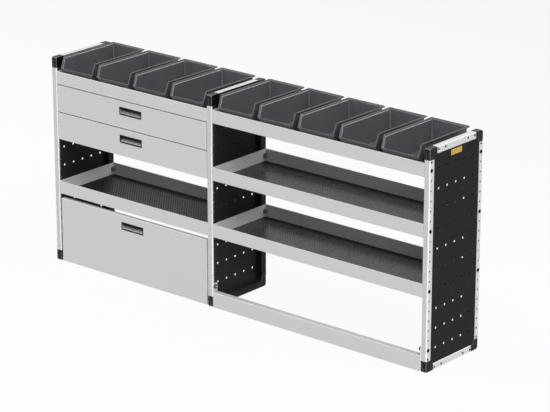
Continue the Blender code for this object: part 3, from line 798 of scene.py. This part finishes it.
def drill_rows(made, finish, radius, start, rows, rise, columns=1, gap=0.0):
    """Drills round holes along X: rows at a rise, each of one or more columns with a gap along Y."""
    return run_tree(made, "drilled", hole_radius=radius, drill_length=2 * overrun, start=start,
                    facets=settings("profiles").facets, columns=columns, column_step=(0, gap, 0),
                    rows=rows, row_step=(0, 0, rise), turn=(0, math.pi / 2, 0), material=finish_for(finish))


def piece_row(piece, finish, count, start, step, turn=(0, 0, 0)):
    """A plain mesh with the piece repeated along a line."""
    host = add_object("row", piece.copy())
    run_tree(host, "row", count=count, start=start, step=step, turn=turn, material=finish_for(finish))
    mesh = host.data
    bpy.data.objects.remove(host)
    return mesh


def join_meshes(name, meshes):
    shape = bmesh.new()
    for mesh in meshes:
        shape.from_mesh(mesh)
    made = object_from(shape, name, outwards=False)
    made.data.shade_smooth()
    made.data.set_sharp_from_angle(angle=sharp)
    return made


# End frames

def complete_profile(made, place, low, high, finish, node):
    """Closes the profile's chamber behind the holes, softens its edges and gives it its finish."""
    sizes = settings("profiles")
    x0, x1 = place.span(sizes.chamber, sizes.chamber + sizes.wall)
    combine(made, block("chamber", (x0, *low), (x1, *high)), "UNION")
    soften(made, sizes.soft, drilled=True)
    return present(made, finish, "base", "anodised", node)


def upright(place, which):
    """An aluminium upright with its holes; a rear one has the black trim along its rebate."""
    sizes = settings("profiles")
    node = place.name + "_" + which + "_upright"
    low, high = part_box(node)
    wall, thick = sizes.wall, place.thick
    rail_low, rail_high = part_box(place.name + "_top_rail")
    depth = rail_high.x - rail_low.x
    if which == "front":
        front, back, inner = place.front, place.front + sizes.width, sizes.nose - wall
        lip = front + sizes.lip
        corners = [(0, front, sizes.nose), (thick, front, sizes.nose), (thick, lip, 0),
                   (thick - wall, lip, 0), (thick - wall, front + wall, inner), (wall, front + wall, inner),
                   (wall, back - wall, 0), (depth, back - wall, 0), (depth, back, 0), (0, back, 0)]
        hole_y = front + hole_edge
    else:
        front, back = place.rear - sizes.width, place.rear
        rebate, shoulder = 2 * settings("panels").recess, front + sizes.trim
        corners = [(rebate, front, 0), (depth, front, 0), (depth, front + wall, 0),
                   (rebate + wall, front + wall, 0), (rebate + wall, shoulder + wall, 0),
                   (wall, shoulder + wall, 0), (wall, back - wall, 0), (depth, back - wall, 0),
                   (depth, back, 0), (0, back, 0), (0, shoulder, 0), (rebate, shoulder, 0)]
        trim = block(node + "_trim", (place.across(rebate / 2), front, low.z),
                     (place.across(rebate), shoulder, high.z))
        present(soften(trim, 0), "coat", "base", "black_paint")
        hole_y = back - hole_edge
    outline = rounded([(place.across(a), b, radius) for a, b, radius in corners])
    made = prism(node + "_dressed", outline, "Z", low.z, high.z)
    start = Vector((place.outer, hole_y, place.first_hole))
    drill_rows(made, "upright", sizes.hole, start, hole_rows, hole_pitch)
    ends = Vector((place.outer, hole_y, low.z + end_inset))
    drill_rows(made, "upright", sizes.hole, ends, 2, high.z - low.z - 2 * end_inset)
    chamber = (front + wall / 2, low.z), (back - wall / 2, high.z)
    return complete_profile(made, place, *chamber, "upright", node)


def rail(place, which):
    """A rail with two holes near each end."""
    sizes = settings("profiles")
    node = place.name + "_" + which + "_rail"
    low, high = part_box(node)
    wall, depth, under, top = sizes.wall, high.x - low.x, low.z, high.z
    corners = [(0, under, sizes.ridge), (depth, under, 0), (depth, under + wall, 0), (wall, under + wall, 0),
               (wall, top - wall, 0), (depth, top - wall, 0), (depth, top, 0), (0, top, sizes.ridge)]
    outline = rounded([(place.across(a), b, radius) for a, b, radius in corners])
    made = prism(node + "_dressed", outline, "Y", low.y, high.y)
    hole_z = top - hole_edge if which == "top" else under + hole_edge
    near, far = rail_holes
    for y in (place.front + near, place.rear - far):
        drill_rows(made, "rail", sizes.hole, Vector((place.outer, y, hole_z)), 1, 0, 2, far - near)
    chamber = (low.y, under + wall / 2), (high.y, top - wall / 2)
    return complete_profile(made, place, *chamber, "rail", node)


def opening_block(place, name, inset, start, end):
    """A block as large as the frame's opening, less an inset all round."""
    edge = settings("profiles").width + inset
    outline = rounded_box(place.front + edge, place.bottom + edge, place.rear - edge, place.top - edge,
                          settings("panels").corner - inset)
    return prism(name, outline, "X", *place.span(start, end))


def side_panel(place):
    """The folded pan with round holes in its web and light holes in its flanges."""
    sizes, profiles = settings("panels"), settings("profiles")
    node = place.name + "_side_panel"
    face = place.thick - sizes.sheet
    made = opening_block(place, node + "_dressed", seat, sizes.recess, face + sizes.sheet / 2)
    low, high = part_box(node)
    lap = profiles.width + seat + sizes.sheet + overrun
    x0, x1 = place.span(face, place.thick)
    across = place.front + place.leg, place.rear - place.leg
    upwards = place.bottom + place.leg, place.top - place.leg
    for (y0, y1), (z0, z1) in (((low.y, place.front + lap), upwards),
                               ((place.rear - lap, place.rear), upwards),
                               (across, (low.z, place.bottom + lap)),
                               (across, (place.top - lap, high.z))):
        combine(made, block("flange", (x0, y0, z0), (x1, y1, z1)), "UNION")
    floor = sizes.recess + sizes.sheet
    hollow = opening_block(place, "hollow", seat + sizes.sheet, floor, place.thick + overrun)
    combine(made, hollow, "DIFFERENCE")
    gap = (place.rear - place.front - 2 * sizes.column_edge) / (sizes.columns - 1)
    start = Vector((place.across(floor), place.front + sizes.column_edge, place.first_hole))
    drill_rows(made, "coat", sizes.hole, start, sizes.rows, 2 * hole_pitch, sizes.columns, gap)
    start = Vector((place.across(place.thick), place.front + hole_edge, place.first_hole))
    width = place.rear - place.front - 2 * hole_edge
    drill_rows(made, "coat", profiles.hole, start, hole_rows, hole_pitch, 2, width)
    soften(made, fine_edge, drilled=True)
    return present(made, "coat", "base", "black_paint", node)


def connector(place, height, depth):
    """A moulded corner connector: soft edges, a grooved nose and spigots into the profiles."""
    sizes, profiles = settings("connectors"), settings("profiles")
    node = place.name + "_connector_" + height + "_" + depth
    up = 1 if height == "bottom" else -1
    back = 1 if depth == "front" else -1
    y0 = place.front if depth == "front" else place.rear
    z0 = place.bottom if height == "bottom" else place.top
    leg, wide = sizes.leg, profiles.width
    inner = settings("panels").corner
    outer = sizes.front if depth == "front" else sizes.rear

    def corner_block(name, xs, inwards, upwards):
        """A block between two distances from the connector's outer corner each way."""
        ys = sorted(y0 + back * distance for distance in inwards)
        zs = sorted(z0 + up * distance for distance in upwards)
        return block(name, (xs[0], ys[0], zs[0]), (xs[1], ys[1], zs[1]))

    corners = [(0, 0, outer), (leg, 0, 0), (leg, wide, 0), (wide, wide, inner), (wide, leg, 0), (0, leg, 0)]
    outline = rounded([(y0 + back * a, z0 + up * b, radius) for a, b, radius in corners])
    made = prism(node + "_dressed", outline, "X", *place.span(0, place.thick))
    if depth == "front":
        round_nose(made, sizes.nose, place.front + outer + hair)
        middle, half = place.across(place.thick / 2), sizes.groove / 2
        groove = corner_block("groove", (middle - half, middle + half), (-overrun, sizes.depth),
                              (2 * outer, leg + overrun))
        combine(made, groove, "DIFFERENCE")
    soften(made, sizes.soft)
    meshes = [made.data]
    inset = profiles.wall + sizes.play
    near, far = (inset, wide - inset), (leg - inset, leg + sizes.spigot)
    across = place.span(inset, place.thick - inset - profiles.wall)
    for inwards, upwards in ((near, far), (far, near)):
        spigot = corner_block("spigot", across, inwards, upwards)
        meshes.append(spigot.data)
        bpy.data.objects.remove(spigot)
    bpy.data.objects.remove(made)
    whole = join_meshes(node + "_dressed", meshes)
    return present(whole, "nylon", "base", "black_nylon", node)


# Bins

class BinPlaces:
    """Where a bin's walls, floor, lip and rim lie, and how near to one of them counts as at it."""

    def __init__(self, node):
        sizes = settings("bins")
        low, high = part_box(node)
        self.middle, self.half = (low.x + high.x) / 2, (high.x - low.x) / 2 - sizes.rim
        self.front, self.back = low.y + sizes.front_rim, high.y - sizes.rim
        self.floor, self.lip = low.z + sizes.wall, low.z + sizes.lip
        self.foot, self.top = high.z - sizes.flare, high.z
        self.near = 1.5 * sizes.draft


def bin_walls(place):
    """Walls that lean in at the floor, with rounded edges and a lowered, sloping front."""
    sizes = settings("bins")
    shape = bmesh.new()
    bmesh.ops.create_cube(shape, size=2)
    for vert in shape.verts:
        draft = 0 if vert.co.z > 0 else sizes.draft
        vert.co.x = place.middle + (place.half - draft) * (1 if vert.co.x > 0 else -1)
        vert.co.y = place.front + draft if vert.co.y < 0 else place.back - draft
        vert.co.z = place.foot if vert.co.z > 0 else place.floor
    rises = [e for e in shape.edges if e.verts[0].co.z != e.verts[1].co.z
             and all(v.co.y > place.back - 2 * sizes.draft for v in e.verts)]
    bevel_edges(shape, rises, sizes.floor_round, 2)
    round_the_floor = [e for e in shape.edges if all(v.co.z < place.floor + sizes.wall for v in e.verts)]
    bevel_edges(shape, round_the_floor, sizes.floor_round, 3)
    lid = [f for f in shape.faces if all(v.co.z > place.foot - hair for v in f.verts)]
    bmesh.ops.delete(shape, geom=lid, context="FACES")
    split_at(shape, (0, place.front, place.lip), (0, place.lip - place.top, sizes.nose), clear_outer=True)
    return shape


def turn_rim_out(shape, place):
    """Grows the open edge: up the bead and the flare, out along the rim's flat and down its edge."""
    sizes = settings("bins")

    def outward(point, side, ahead):
        x = side * (int(point.x > place.middle + place.half - place.near)
                    - int(point.x < place.middle - place.half + place.near))
        at_lip = point.y < place.front + place.near and point.z < place.lip + place.near
        return Vector((x, side if point.y > place.back - place.near else -ahead if at_lip else 0, 0))

    def rising(point, side, ahead, rise):
        rise = rise * (point.z - place.lip) / (place.foot - place.lip)
        return outward(point, side, ahead) + Vector((0, 0, rise))

    bead_side, bead_front, flare_side = 0.6 * sizes.bead, 0.25 * sizes.front_rim, sizes.rim - sizes.flat
    for move in (lambda point: rising(point, bead_side, bead_front, sizes.bead),
                 lambda point: rising(point, flare_side - bead_side, bead_front, sizes.flare - sizes.bead),
                 lambda point: outward(point, sizes.flat, sizes.front_rim / 2),
                 lambda point: Vector((0, 0, -sizes.drop))):
        edges = [e for e in shape.edges if e.is_boundary]
        grown = bmesh.ops.extrude_edge_only(shape, edges=edges)["geom"]
        for vert in [g for g in grown if isinstance(g, bmesh.types.BMVert)]:
            vert.co += move(vert.co)


def mark_bin(mesh, place):
    """Painted highlights on the rim's edges, on the edges inside and faintly on the back wall inside, and
    painted shade on the flares.
    """
    back_highlight, side_highlight, upright_share, far_rim, near_rim = 0.12, 0.2, 0.7, 0.6, 1.0
    normals, centres, widths, slanted = face_facts(mesh)
    inward = (normals[:, 0] * (place.middle - centres[:, 0])
              + normals[:, 1] * ((place.front + place.back) / 2 - centres[:, 1])) > 0
    upright = numpy.abs(normals[:, 2]) < hardly_any
    narrow = widths < numpy.where(inward, 2 * widest_edge, widest_edge)
    raised = slanted & (centres[:, 2] > place.lip - place.near)
    at_back = centres[:, 1] > place.back - place.near
    rubbed_and_lit = numpy.where(at_back & inward & ~slanted, back_highlight, side_highlight * (narrow & slanted & inward))
    rim_share = numpy.where(centres[:, 2] < place.lip + place.near, near_rim, far_rim)
    highlighted = numpy.where(upright, upright_share * rubbed_and_lit, rim_share * (raised & narrow & ~at_back))
    mark_faces(mesh, "edge", highlighted)
    mark_faces(mesh, "grime", (raised & ~upright) * (at_back | inward & ~narrow))


def storage_bin(node):
    """An open-fronted bin: drafted walls and a rim that flares, turns out and turns down."""
    sizes, place = settings("bins"), BinPlaces(node)
    shape = bin_walls(place)
    turn_rim_out(shape, place)
    made = object_from(shape, node + "_dressed", outwards=False)
    shell = made.modifiers.new("wall", "SOLIDIFY")
    shell.thickness = sizes.wall
    shell.offset = 1
    shell.use_even_offset = True
    settle(made)
    soften(made, sizes.edge)
    for vert in made.data.vertices:
        vert.co.z = min(vert.co.z, place.top)
    mark_bin(made.data, place)
    return present(made, "plastic", body_of_node(node), "bin_plastic", node)


# Pulls

def scoop(front, back, low, high, sill, steps=14):
    """The section of a scoop: up from its sill in a curve to the back, and over to the front."""
    rise_share = 0.75
    points = [(front, high), (front, sill)]
    for step in range(1, steps + 1):
        turn = math.pi / 2 * step / steps
        rise = (high - low) * rise_share * (1 - math.cos(turn))
        points.append((front + (back - front) * math.sin(turn), low + rise))
    return points + [(back, high)]


def recessed_pull(node, body):
    """A recessed pull: thin bezel, smooth scoop and a hooked upper edge."""
    sizes = settings("pulls")
    low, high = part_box(node)
    face, rim = low.y + sizes.plate, sizes.bezel
    corner, inset, lap = 2 * mm, 2.3 * mm, 0.2 * mm
    bezel = rounded_box(low.x, low.z - sizes.apron, high.x, high.z, corner)
    made = prism(node + "_dressed", bezel, "Y", low.y, face)
    z0, z1 = low.z + inset, high.z - inset
    housing = scoop(low.y + sizes.plate / 2, high.y, z0, z1, z0)
    combine(made, prism("housing", housing, "X", low.x + inset, high.x - inset), "UNION")
    inner = scoop(face, high.y - sizes.wall, z0 + sizes.wall, z1 - sizes.wall, low.z + rim)
    combine(made, prism("scoop", inner, "X", low.x + rim, high.x - rim), "DIFFERENCE")
    combine(made, block("mouth", (low.x + rim, low.y - overrun, low.z + rim),
                        (high.x - rim, face + sizes.hook, high.z - rim)), "DIFFERENCE")
    soften(made, fine_edge)
    # No painted highlight on the bezel's edges; a painted highlight on the scoop's sill below its middle
    mark_faces(made.data, "edge", numpy.zeros(len(made.data.polygons)))
    below_middle = (low.z + high.z) / 2 - mm
    mark_height(made.data, "sill", below_middle, low.z + rim, face + lap)
    return present(made, "nylon", body, "black_nylon", node)


# Kick rail

def kick_rail():
    """The folded rail with chamfered ends; painted shade darkens its top flange, and a painted highlight
    lies on its rounded edges and chamfered ends.
    """
    low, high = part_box("kick_rail")
    flange = low.z + kick_height
    made = copy_of_node("kick_rail", "kick_rail_dressed")
    chamfer, slope, facing, level = 3 * mm, 0.5, 0.5, 0.9
    with edited(made) as shape:
        for x, way in ((low.x + chamfer, -1), (high.x - chamfer, 1)):
            split_at(shape, (x, 0, 0), (1, 0, 0))
            for vert in shape.verts:
                vert.co.y = max(vert.co.y, low.y + slope * way * (vert.co.x - x))
    soften(made, thick_edge)
    normals, centres, widths, slanted = face_facts(made.data)
    near_end = numpy.minimum(centres[:, 0] - low.x, high.x - centres[:, 0]) < chamfer
    chamfered = near_end & (normals[:, 1] < -facing)
    # Painted highlight on the rounded edges and the chamfered ends
    mark_faces(made.data, "edge", slanted & ((widths < widest_edge) | chamfered))
    # Painted shade on the top flange
    on_flange = numpy.abs(centres[:, 2] - flange) < fine_edge
    mark_faces(made.data, "grime", on_flange & (normals[:, 2] > level))
    present(made, "paint", "base", "silver_paint", "kick_rail")


# Mats

def studded_mat(node):
    """A thin base with staggered rows of six-sided studs, whose tops are marked for a painted highlight."""
    sizes = settings("mats")
    low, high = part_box(node)
    base_top = high.z - sizes.height
    corner, foot, top_share = 3 * mm, 0.2 * mm, 0.7
    plate = prism("base", rounded_box(low.x, low.y, high.x, high.y, corner), "Z", low.z, base_top)
    stud = turned("stud", [(sizes.stud, base_top - foot), (top_share * sizes.stud, high.z)], 6, "Z")
    room = high - low - Vector((2, 2, 0)) * (sizes.stud + corner)
    meshes = [plate.data]
    rows = int(room.y / sizes.step) + 1
    for odd in (0, 1):
        count = int(room.x / sizes.pitch) + 1 - odd
        first = Vector(((low.x + high.x - sizes.pitch * (count - 1)) / 2,
                        (low.y + high.y - sizes.step * (rows - 1)) / 2 + odd * sizes.step, 0))
        row = piece_row(stud, "rubber", count, first, (sizes.pitch, 0, 0))
        meshes.append(piece_row(row, "rubber", (rows + 1 - odd) // 2, (0, 0, 0), (0, 2 * sizes.step, 0)))
    made = join_meshes(node + "_dressed", meshes)
    bpy.data.objects.remove(plate)
    # Painted highlight rising up the studs to their tops
    mark_height(made.data, "edge", base_top, high.z)
    return present(made, "rubber", "base", "mat_rubber", node)


# Fasteners

def turned(name, profile, sides=20, axis="X"):
    """A turned piece along X or Z from (radius, height) steps, closed at both ends."""
    shape = bmesh.new()
    rings = []
    for radius, height in profile:
        ring = []
        for i in range(sides):
            turn = 2 * math.pi * i / sides
            a, b = radius * math.cos(turn), radius * math.sin(turn)
            ring.append(shape.verts.new((height, a, b) if axis == "X" else (b, a, height)))
        rings.append(ring)
    for one, two in zip(rings, rings[1:]):
        for i in range(sides):
            shape.faces.new((one[i - 1], one[i], two[i], two[i - 1]))
    for ring in (rings[0], rings[-1]):
        shape.faces.new(ring)
    return mesh_from(shape, name)


def button_head():
    """A button head with a round socket, standing on its outer face along +X."""
    sizes = settings("fasteners")
    sunk = -0.5 * mm
    dome_shares = ((1, 0.3), (0.93, 0.6), (0.75, 0.87), (0.45, 1), (0.36, 1), (0.33, 0.35))
    dome = [(share * sizes.head, rise * sizes.height) for share, rise in dome_shares]
    return turned("button_head", [(0.5 * sizes.head, sunk), (sizes.head, sunk)] + dome)


def end_screw():
    """A low screw with a round socket, whose shank stands in its hole."""
    radius = settings("fasteners").screw
    shank, socket, sunk, edge, top = -3 * mm, -1.5 * mm, -0.2 * mm, 0.3 * mm, 0.9 * mm
    shares = ((0.4, shank), (0.7, shank), (0.7, sunk), (1, sunk), (1, edge),
              (0.8, top), (0.5, top), (0.42, socket))
    return turned("screw", [(share * radius, height) for share, height in shares], 14)


def end_screws():
    """Black screws in the end holes of the uprights and in the rails' holes, on the outer face."""
    screw = end_screw()
    near, far = rail_holes
    meshes = []
    for name in frame_names:
        place = EndFrame(name)
        low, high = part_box(name + "_front_upright")
        rise, run = (0, 0, high.z - low.z - 2 * end_inset), (0, far - near, 0)
        places = [(y, low.z + end_inset, rise) for y in (place.front + hole_edge, place.rear - hole_edge)]
        places += [(y, z, run) for z in (place.bottom + hole_edge, place.top - hole_edge)
                   for y in (place.front + near, place.rear - far)]
        for y, z, step in places:
            start = Vector((place.outer, y, z))
            meshes.append(piece_row(screw, "nylon", 2, start, step, place.outward_turn))
    return present(join_meshes("end_screws", meshes), "nylon", "base", "black_nylon")


def frame_bolts():
    """Black button heads on the outer faces of the two outer end frames."""
    head = button_head()
    meshes = []
    for name in ("left", "right"):
        place = EndFrame(name)
        for y, first, count in ((place.front + hole_edge, 0, 4), (place.rear - hole_edge, 1, 3)):
            start = Vector((place.outer, y, place.first_hole + first * bolt_step))
            meshes.append(piece_row(head, "nylon", count, start, (0, 0, bolt_step), place.outward_turn))
    return present(join_meshes("end_frame_bolts", meshes), "nylon", "base", "black_nylon")


def tray_nuts():
    """Dark grey flange nuts in the end walls of the trays and the kick rail, with the bolts' zinc ends."""
    sizes = settings("fasteners")
    flange, cone, shoulder, top = 1.5 * mm, 3 * mm, 10 * mm, 12 * mm
    foot, point, end = 11 * mm, 14 * mm, 14.5 * mm
    crown, taper = 0.85 * sizes.nut, 0.8 * sizes.bolt
    nut = turned("nut", [(sizes.bolt, 0), (sizes.flange, 0), (sizes.flange, flange), (sizes.nut, cone),
                         (sizes.nut, shoulder), (crown, top), (sizes.bolt, top)])
    bolt = turned("bolt", [(sizes.bolt, foot), (sizes.bolt, point), (taper, end)], 12)
    tray_wall, rail_wall = 1.5 * mm, 2 * mm
    places = []
    for node in tray_names + ("kick_rail",):
        low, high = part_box(node)
        kick = node == "kick_rail"
        wall = rail_wall if kick else tray_wall
        z = EndFrame("mid").first_hole if kick else (low.z + high.z) / 2
        for x, turn in ((low.x + wall, (0, 0, 0)), (high.x - wall, (0, 0, math.pi))):
            start, step = Vector((x, low.y + hole_edge, z)), (0, high.y - low.y - 2 * hole_edge, 0)
            places.append((1 if kick else 2, start, step, turn))
    for name, piece, finish, slot in (("tray_nuts", nut, "plastic", "bin_plastic"),
                                      ("tray_bolt_ends", bolt, "zinc", "zinc")):
        meshes = [piece_row(piece, finish, *place) for place in places]
        present(join_meshes(name, meshes), finish, "base", slot)


# Plate on the end panel

def bare_plate():
    """A bare yellow plate near the top of the right panel's outer face."""
    place = EndFrame("right")
    recess = settings("panels").recess
    wide, high, corner, drop = 76 * mm, 25 * mm, 2 * mm, 50 * mm
    out, sunk = 0.8 * mm, 0.2 * mm
    y, z = (place.front + place.rear) / 2, place.top - drop
    outline = rounded_box(y - wide / 2, z - high / 2, y + wide / 2, z + high / 2, corner)
    made = prism("bare_plate", outline, "X", *place.span(recess - out, recess + sunk))
    return present(soften(made, thin_edge), "plate", "base", "black_paint")


# Stage

# Each light's direction as seen from the row, and its width in degrees
light_ways = {"key": ((0.47, -0.30, 0.83), 60), "rim": ((0.72, 0.32, 0.62), 30),
              "fill": ((-0.61, -0.32, 0.72), 22), "low": ((0.66, -0.56, 0.50), 30)}


def studio_light(name, power, way, width):
    """A large distant softbox."""
    light = bpy.data.lights.new(name, "SUN")
    light.energy, light.angle = power, math.radians(width)
    made = bpy.data.objects.new(name, light)
    bpy.context.scene.collection.objects.link(made)
    made.rotation_euler = Vector(way).to_track_quat("Z", "Y").to_euler()


def seen_directly(tree):
    """1 for camera, mirror and glass rays."""
    path = tree_node(tree, "ShaderNodeLightPath").outputs
    total = path["Is Camera Ray"]
    for name in ("Is Glossy Ray", "Is Transmission Ray"):
        larger = tree_node(tree, "ShaderNodeMath", [(0, total), (1, path[name])], operation="MAXIMUM")
        total = larger.outputs[0]
    return total


def make_world():
    """A room that lights the row evenly and looks pale behind it."""
    stage = settings("stage")
    world = bpy.data.worlds.new("studio_room")
    bpy.context.scene.world = world
    world.use_nodes = True
    tree = world.node_tree
    mix = tree_node(tree, "ShaderNodeMix", data_type="RGBA")
    tree.links.new(seen_directly(tree), mix.inputs["Factor"])
    mix.inputs[6].default_value = (stage.ambient, stage.ambient, stage.ambient, 1)
    mix.inputs[7].default_value = (*stage.backdrop, 1)
    tree.links.new(mix.outputs[2], tree.nodes["Background"].inputs["Color"])


def make_floor():
    """A pale floor that reads as white but keeps a faint shadow, and fades a little far behind the row."""
    half, drop, grey, roughness = 40, 0.5 * mm, 0.40, 0.9
    fade_start, fade_end, far_strength, glow_share = 1.0, 9.0, 0.885, 0.94
    shape = bmesh.new()
    bmesh.ops.create_grid(shape, x_segments=1, y_segments=1, size=half)
    floor = object_from(shape, "studio_floor", outwards=False)
    floor.location.z = cad_low.z - drop
    material = bpy.data.materials.new("studio_floor_finish")
    material.use_nodes = True
    tree = material.node_tree
    shader = tree.nodes["Principled BSDF"]
    shader.inputs["Base Color"].default_value = (grey, grey, grey, 1)
    shader.inputs["Roughness"].default_value = roughness
    place = tree_node(tree, "ShaderNodeTexCoord")
    split = tree_node(tree, "ShaderNodeSeparateXYZ", [(0, place.outputs["Object"])])
    fade = tree_node(tree, "ShaderNodeMapRange", [("Value", split.outputs["Y"])])
    for name, value in (("From Min", fade_start), ("From Max", fade_end), ("To Min", 1.0),
                        ("To Max", far_strength)):
        fade.inputs[name].default_value = value
    glow = tree_node(tree, "ShaderNodeEmission", [("Strength", fade.outputs[0])])
    seen = tree_node(tree, "ShaderNodeMath", [(0, seen_directly(tree))], operation="MULTIPLY")
    seen.inputs[1].default_value = glow_share
    mix = tree_node(tree, "ShaderNodeMixShader",
                    [(0, seen.outputs[0]), (1, shader.outputs[0]), (2, glow.outputs[0])])
    tree.links.new(mix.outputs[0], tree.nodes["Material Output"].inputs["Surface"])
    floor.data.materials.append(material)


def make_camera():
    """The camera where the photograph was taken from."""
    stage = settings("stage")
    camera = bpy.data.cameras.new("camera")
    camera.lens = stage.lens
    camera.sensor_width = 36
    camera.clip_end = 200
    made = bpy.data.objects.new("camera", camera)
    bpy.context.scene.collection.objects.link(made)
    a, e = stage.azimuth, stage.elevation
    way = Vector((-math.sin(a) * math.cos(e), math.cos(a) * math.cos(e), -math.sin(e)))
    made.location = stage.place
    made.rotation_euler = way.to_track_quat("-Z", "Y").to_euler()
    bpy.context.scene.camera = made


# Operators

class RackOperator(bpy.types.Operator):
    """Builds one group of pieces."""
    bl_options = {"REGISTER", "UNDO"}

    def execute(self, context):
        self.build(context)
        return {"FINISHED"}


class RACK_OT_profiles(RackOperator):
    """Build the aluminium uprights and rails of the three end frames"""
    bl_idname = "rack.profiles"
    bl_label = "Uprights and Rails"

    def build(self, context):
        for name in frame_names:
            place = EndFrame(name)
            for which in ("front", "rear"):
                upright(place, which)
            for which in ("top", "bottom"):
                rail(place, which)


class RACK_OT_panels(RackOperator):
    """Build the perforated side panels"""
    bl_idname = "rack.panels"
    bl_label = "Side Panels"

    def build(self, context):
        for name in frame_names:
            side_panel(EndFrame(name))


class RACK_OT_connectors(RackOperator):
    """Build the moulded corner connectors"""
    bl_idname = "rack.connectors"
    bl_label = "Corner Connectors"

    def build(self, context):
        for name in frame_names:
            for height in ("top", "bottom"):
                for depth in ("front", "rear"):
                    connector(EndFrame(name), height, depth)


class RACK_OT_trays(RackOperator):
    """Dress the trays and the kick rail"""
    bl_idname = "rack.trays"
    bl_label = "Trays and Kick Rail"

    def build(self, context):
        for node in tray_names:
            dress_copy(node, "paint", "silver_paint", folded_edge)
        kick_rail()


class RACK_OT_mats(RackOperator):
    """Build the studded mats"""
    bl_idname = "rack.mats"
    bl_label = "Studded Mats"

    def build(self, context):
        for node in mat_names:
            studded_mat(node)


class RACK_OT_fronts(RackOperator):
    """Dress the drawers, their slides, the flap and its rod"""
    bl_idname = "rack.fronts"
    bl_label = "Drawers and Flap"

    def build(self, context):
        for node in ("upper_drawer", "lower_drawer", "flap"):
            dress_copy(node, "paint", "silver_paint", folded_edge)
        for node in frame["nodes"]:
            if "_slide_" in node:
                dress_copy(node, "zinc", "zinc", thin_edge)
        repaint("flap_hinge_rod", "zinc")


class RACK_OT_pulls(RackOperator):
    """Build the recessed pulls"""
    bl_idname = "rack.pulls"
    bl_label = "Recessed Pulls"

    def build(self, context):
        for node, body in pull_bodies.items():
            recessed_pull(node, body)


class RACK_OT_bins(RackOperator):
    """Build the storage bins"""
    bl_idname = "rack.bins"
    bl_label = "Storage Bins"

    def build(self, context):
        for node in bin_names:
            storage_bin(node)


class RACK_OT_fasteners(RackOperator):
    """Build the bolts' heads, the end screws, the nuts with the bolts' ends and the bare plate"""
    bl_idname = "rack.fasteners"
    bl_label = "Fasteners and Plate"

    def build(self, context):
        frame_bolts()
        end_screws()
        tray_nuts()
        bare_plate()


class RACK_OT_stage(RackOperator):
    """Build the floor, the room, the lights and the camera"""
    bl_idname = "rack.stage"
    bl_label = "Studio Stage"

    def build(self, context):
        make_floor()
        make_world()
        make_camera()
        for name, (way, width) in light_ways.items():
            studio_light(name + "_light", getattr(settings("stage"), name), way, width)
        context.scene.view_settings.view_transform = "Standard"


class RACK_PT_sidebar(bpy.types.Panel):
    bl_label = "Van Racking Row"
    bl_idname = "RACK_PT_sidebar"
    bl_space_type = "VIEW_3D"
    bl_region_type = "UI"
    bl_category = "Racking"

    def draw(self, context):
        for operator in operators:
            self.layout.operator(operator.bl_idname)
        for name, group in setting_groups.items():
            box = self.layout.box()
            for key in group.__annotations__:
                box.prop(getattr(context.scene, name), key)


operators = (RACK_OT_profiles, RACK_OT_panels, RACK_OT_connectors, RACK_OT_trays, RACK_OT_mats,
             RACK_OT_fronts, RACK_OT_pulls, RACK_OT_bins, RACK_OT_fasteners, RACK_OT_stage)


def register():
    for group in setting_groups.values():
        bpy.utils.register_class(group)
    for name, group in setting_groups.items():
        setattr(bpy.types.Scene, name, PointerProperty(type=group))
    for operator in operators:
        bpy.utils.register_class(operator)
    bpy.utils.register_class(RACK_PT_sidebar)


def unregister():
    bpy.utils.unregister_class(RACK_PT_sidebar)
    for operator in reversed(operators):
        bpy.utils.unregister_class(operator)
    for name, group in setting_groups.items():
        delattr(bpy.types.Scene, name)
        bpy.utils.unregister_class(group)


def main():
    register()
    for operator in operators:
        getattr(bpy.ops.rack, operator.bl_idname.split(".")[1])()


if __name__ == "__main__":
    main()
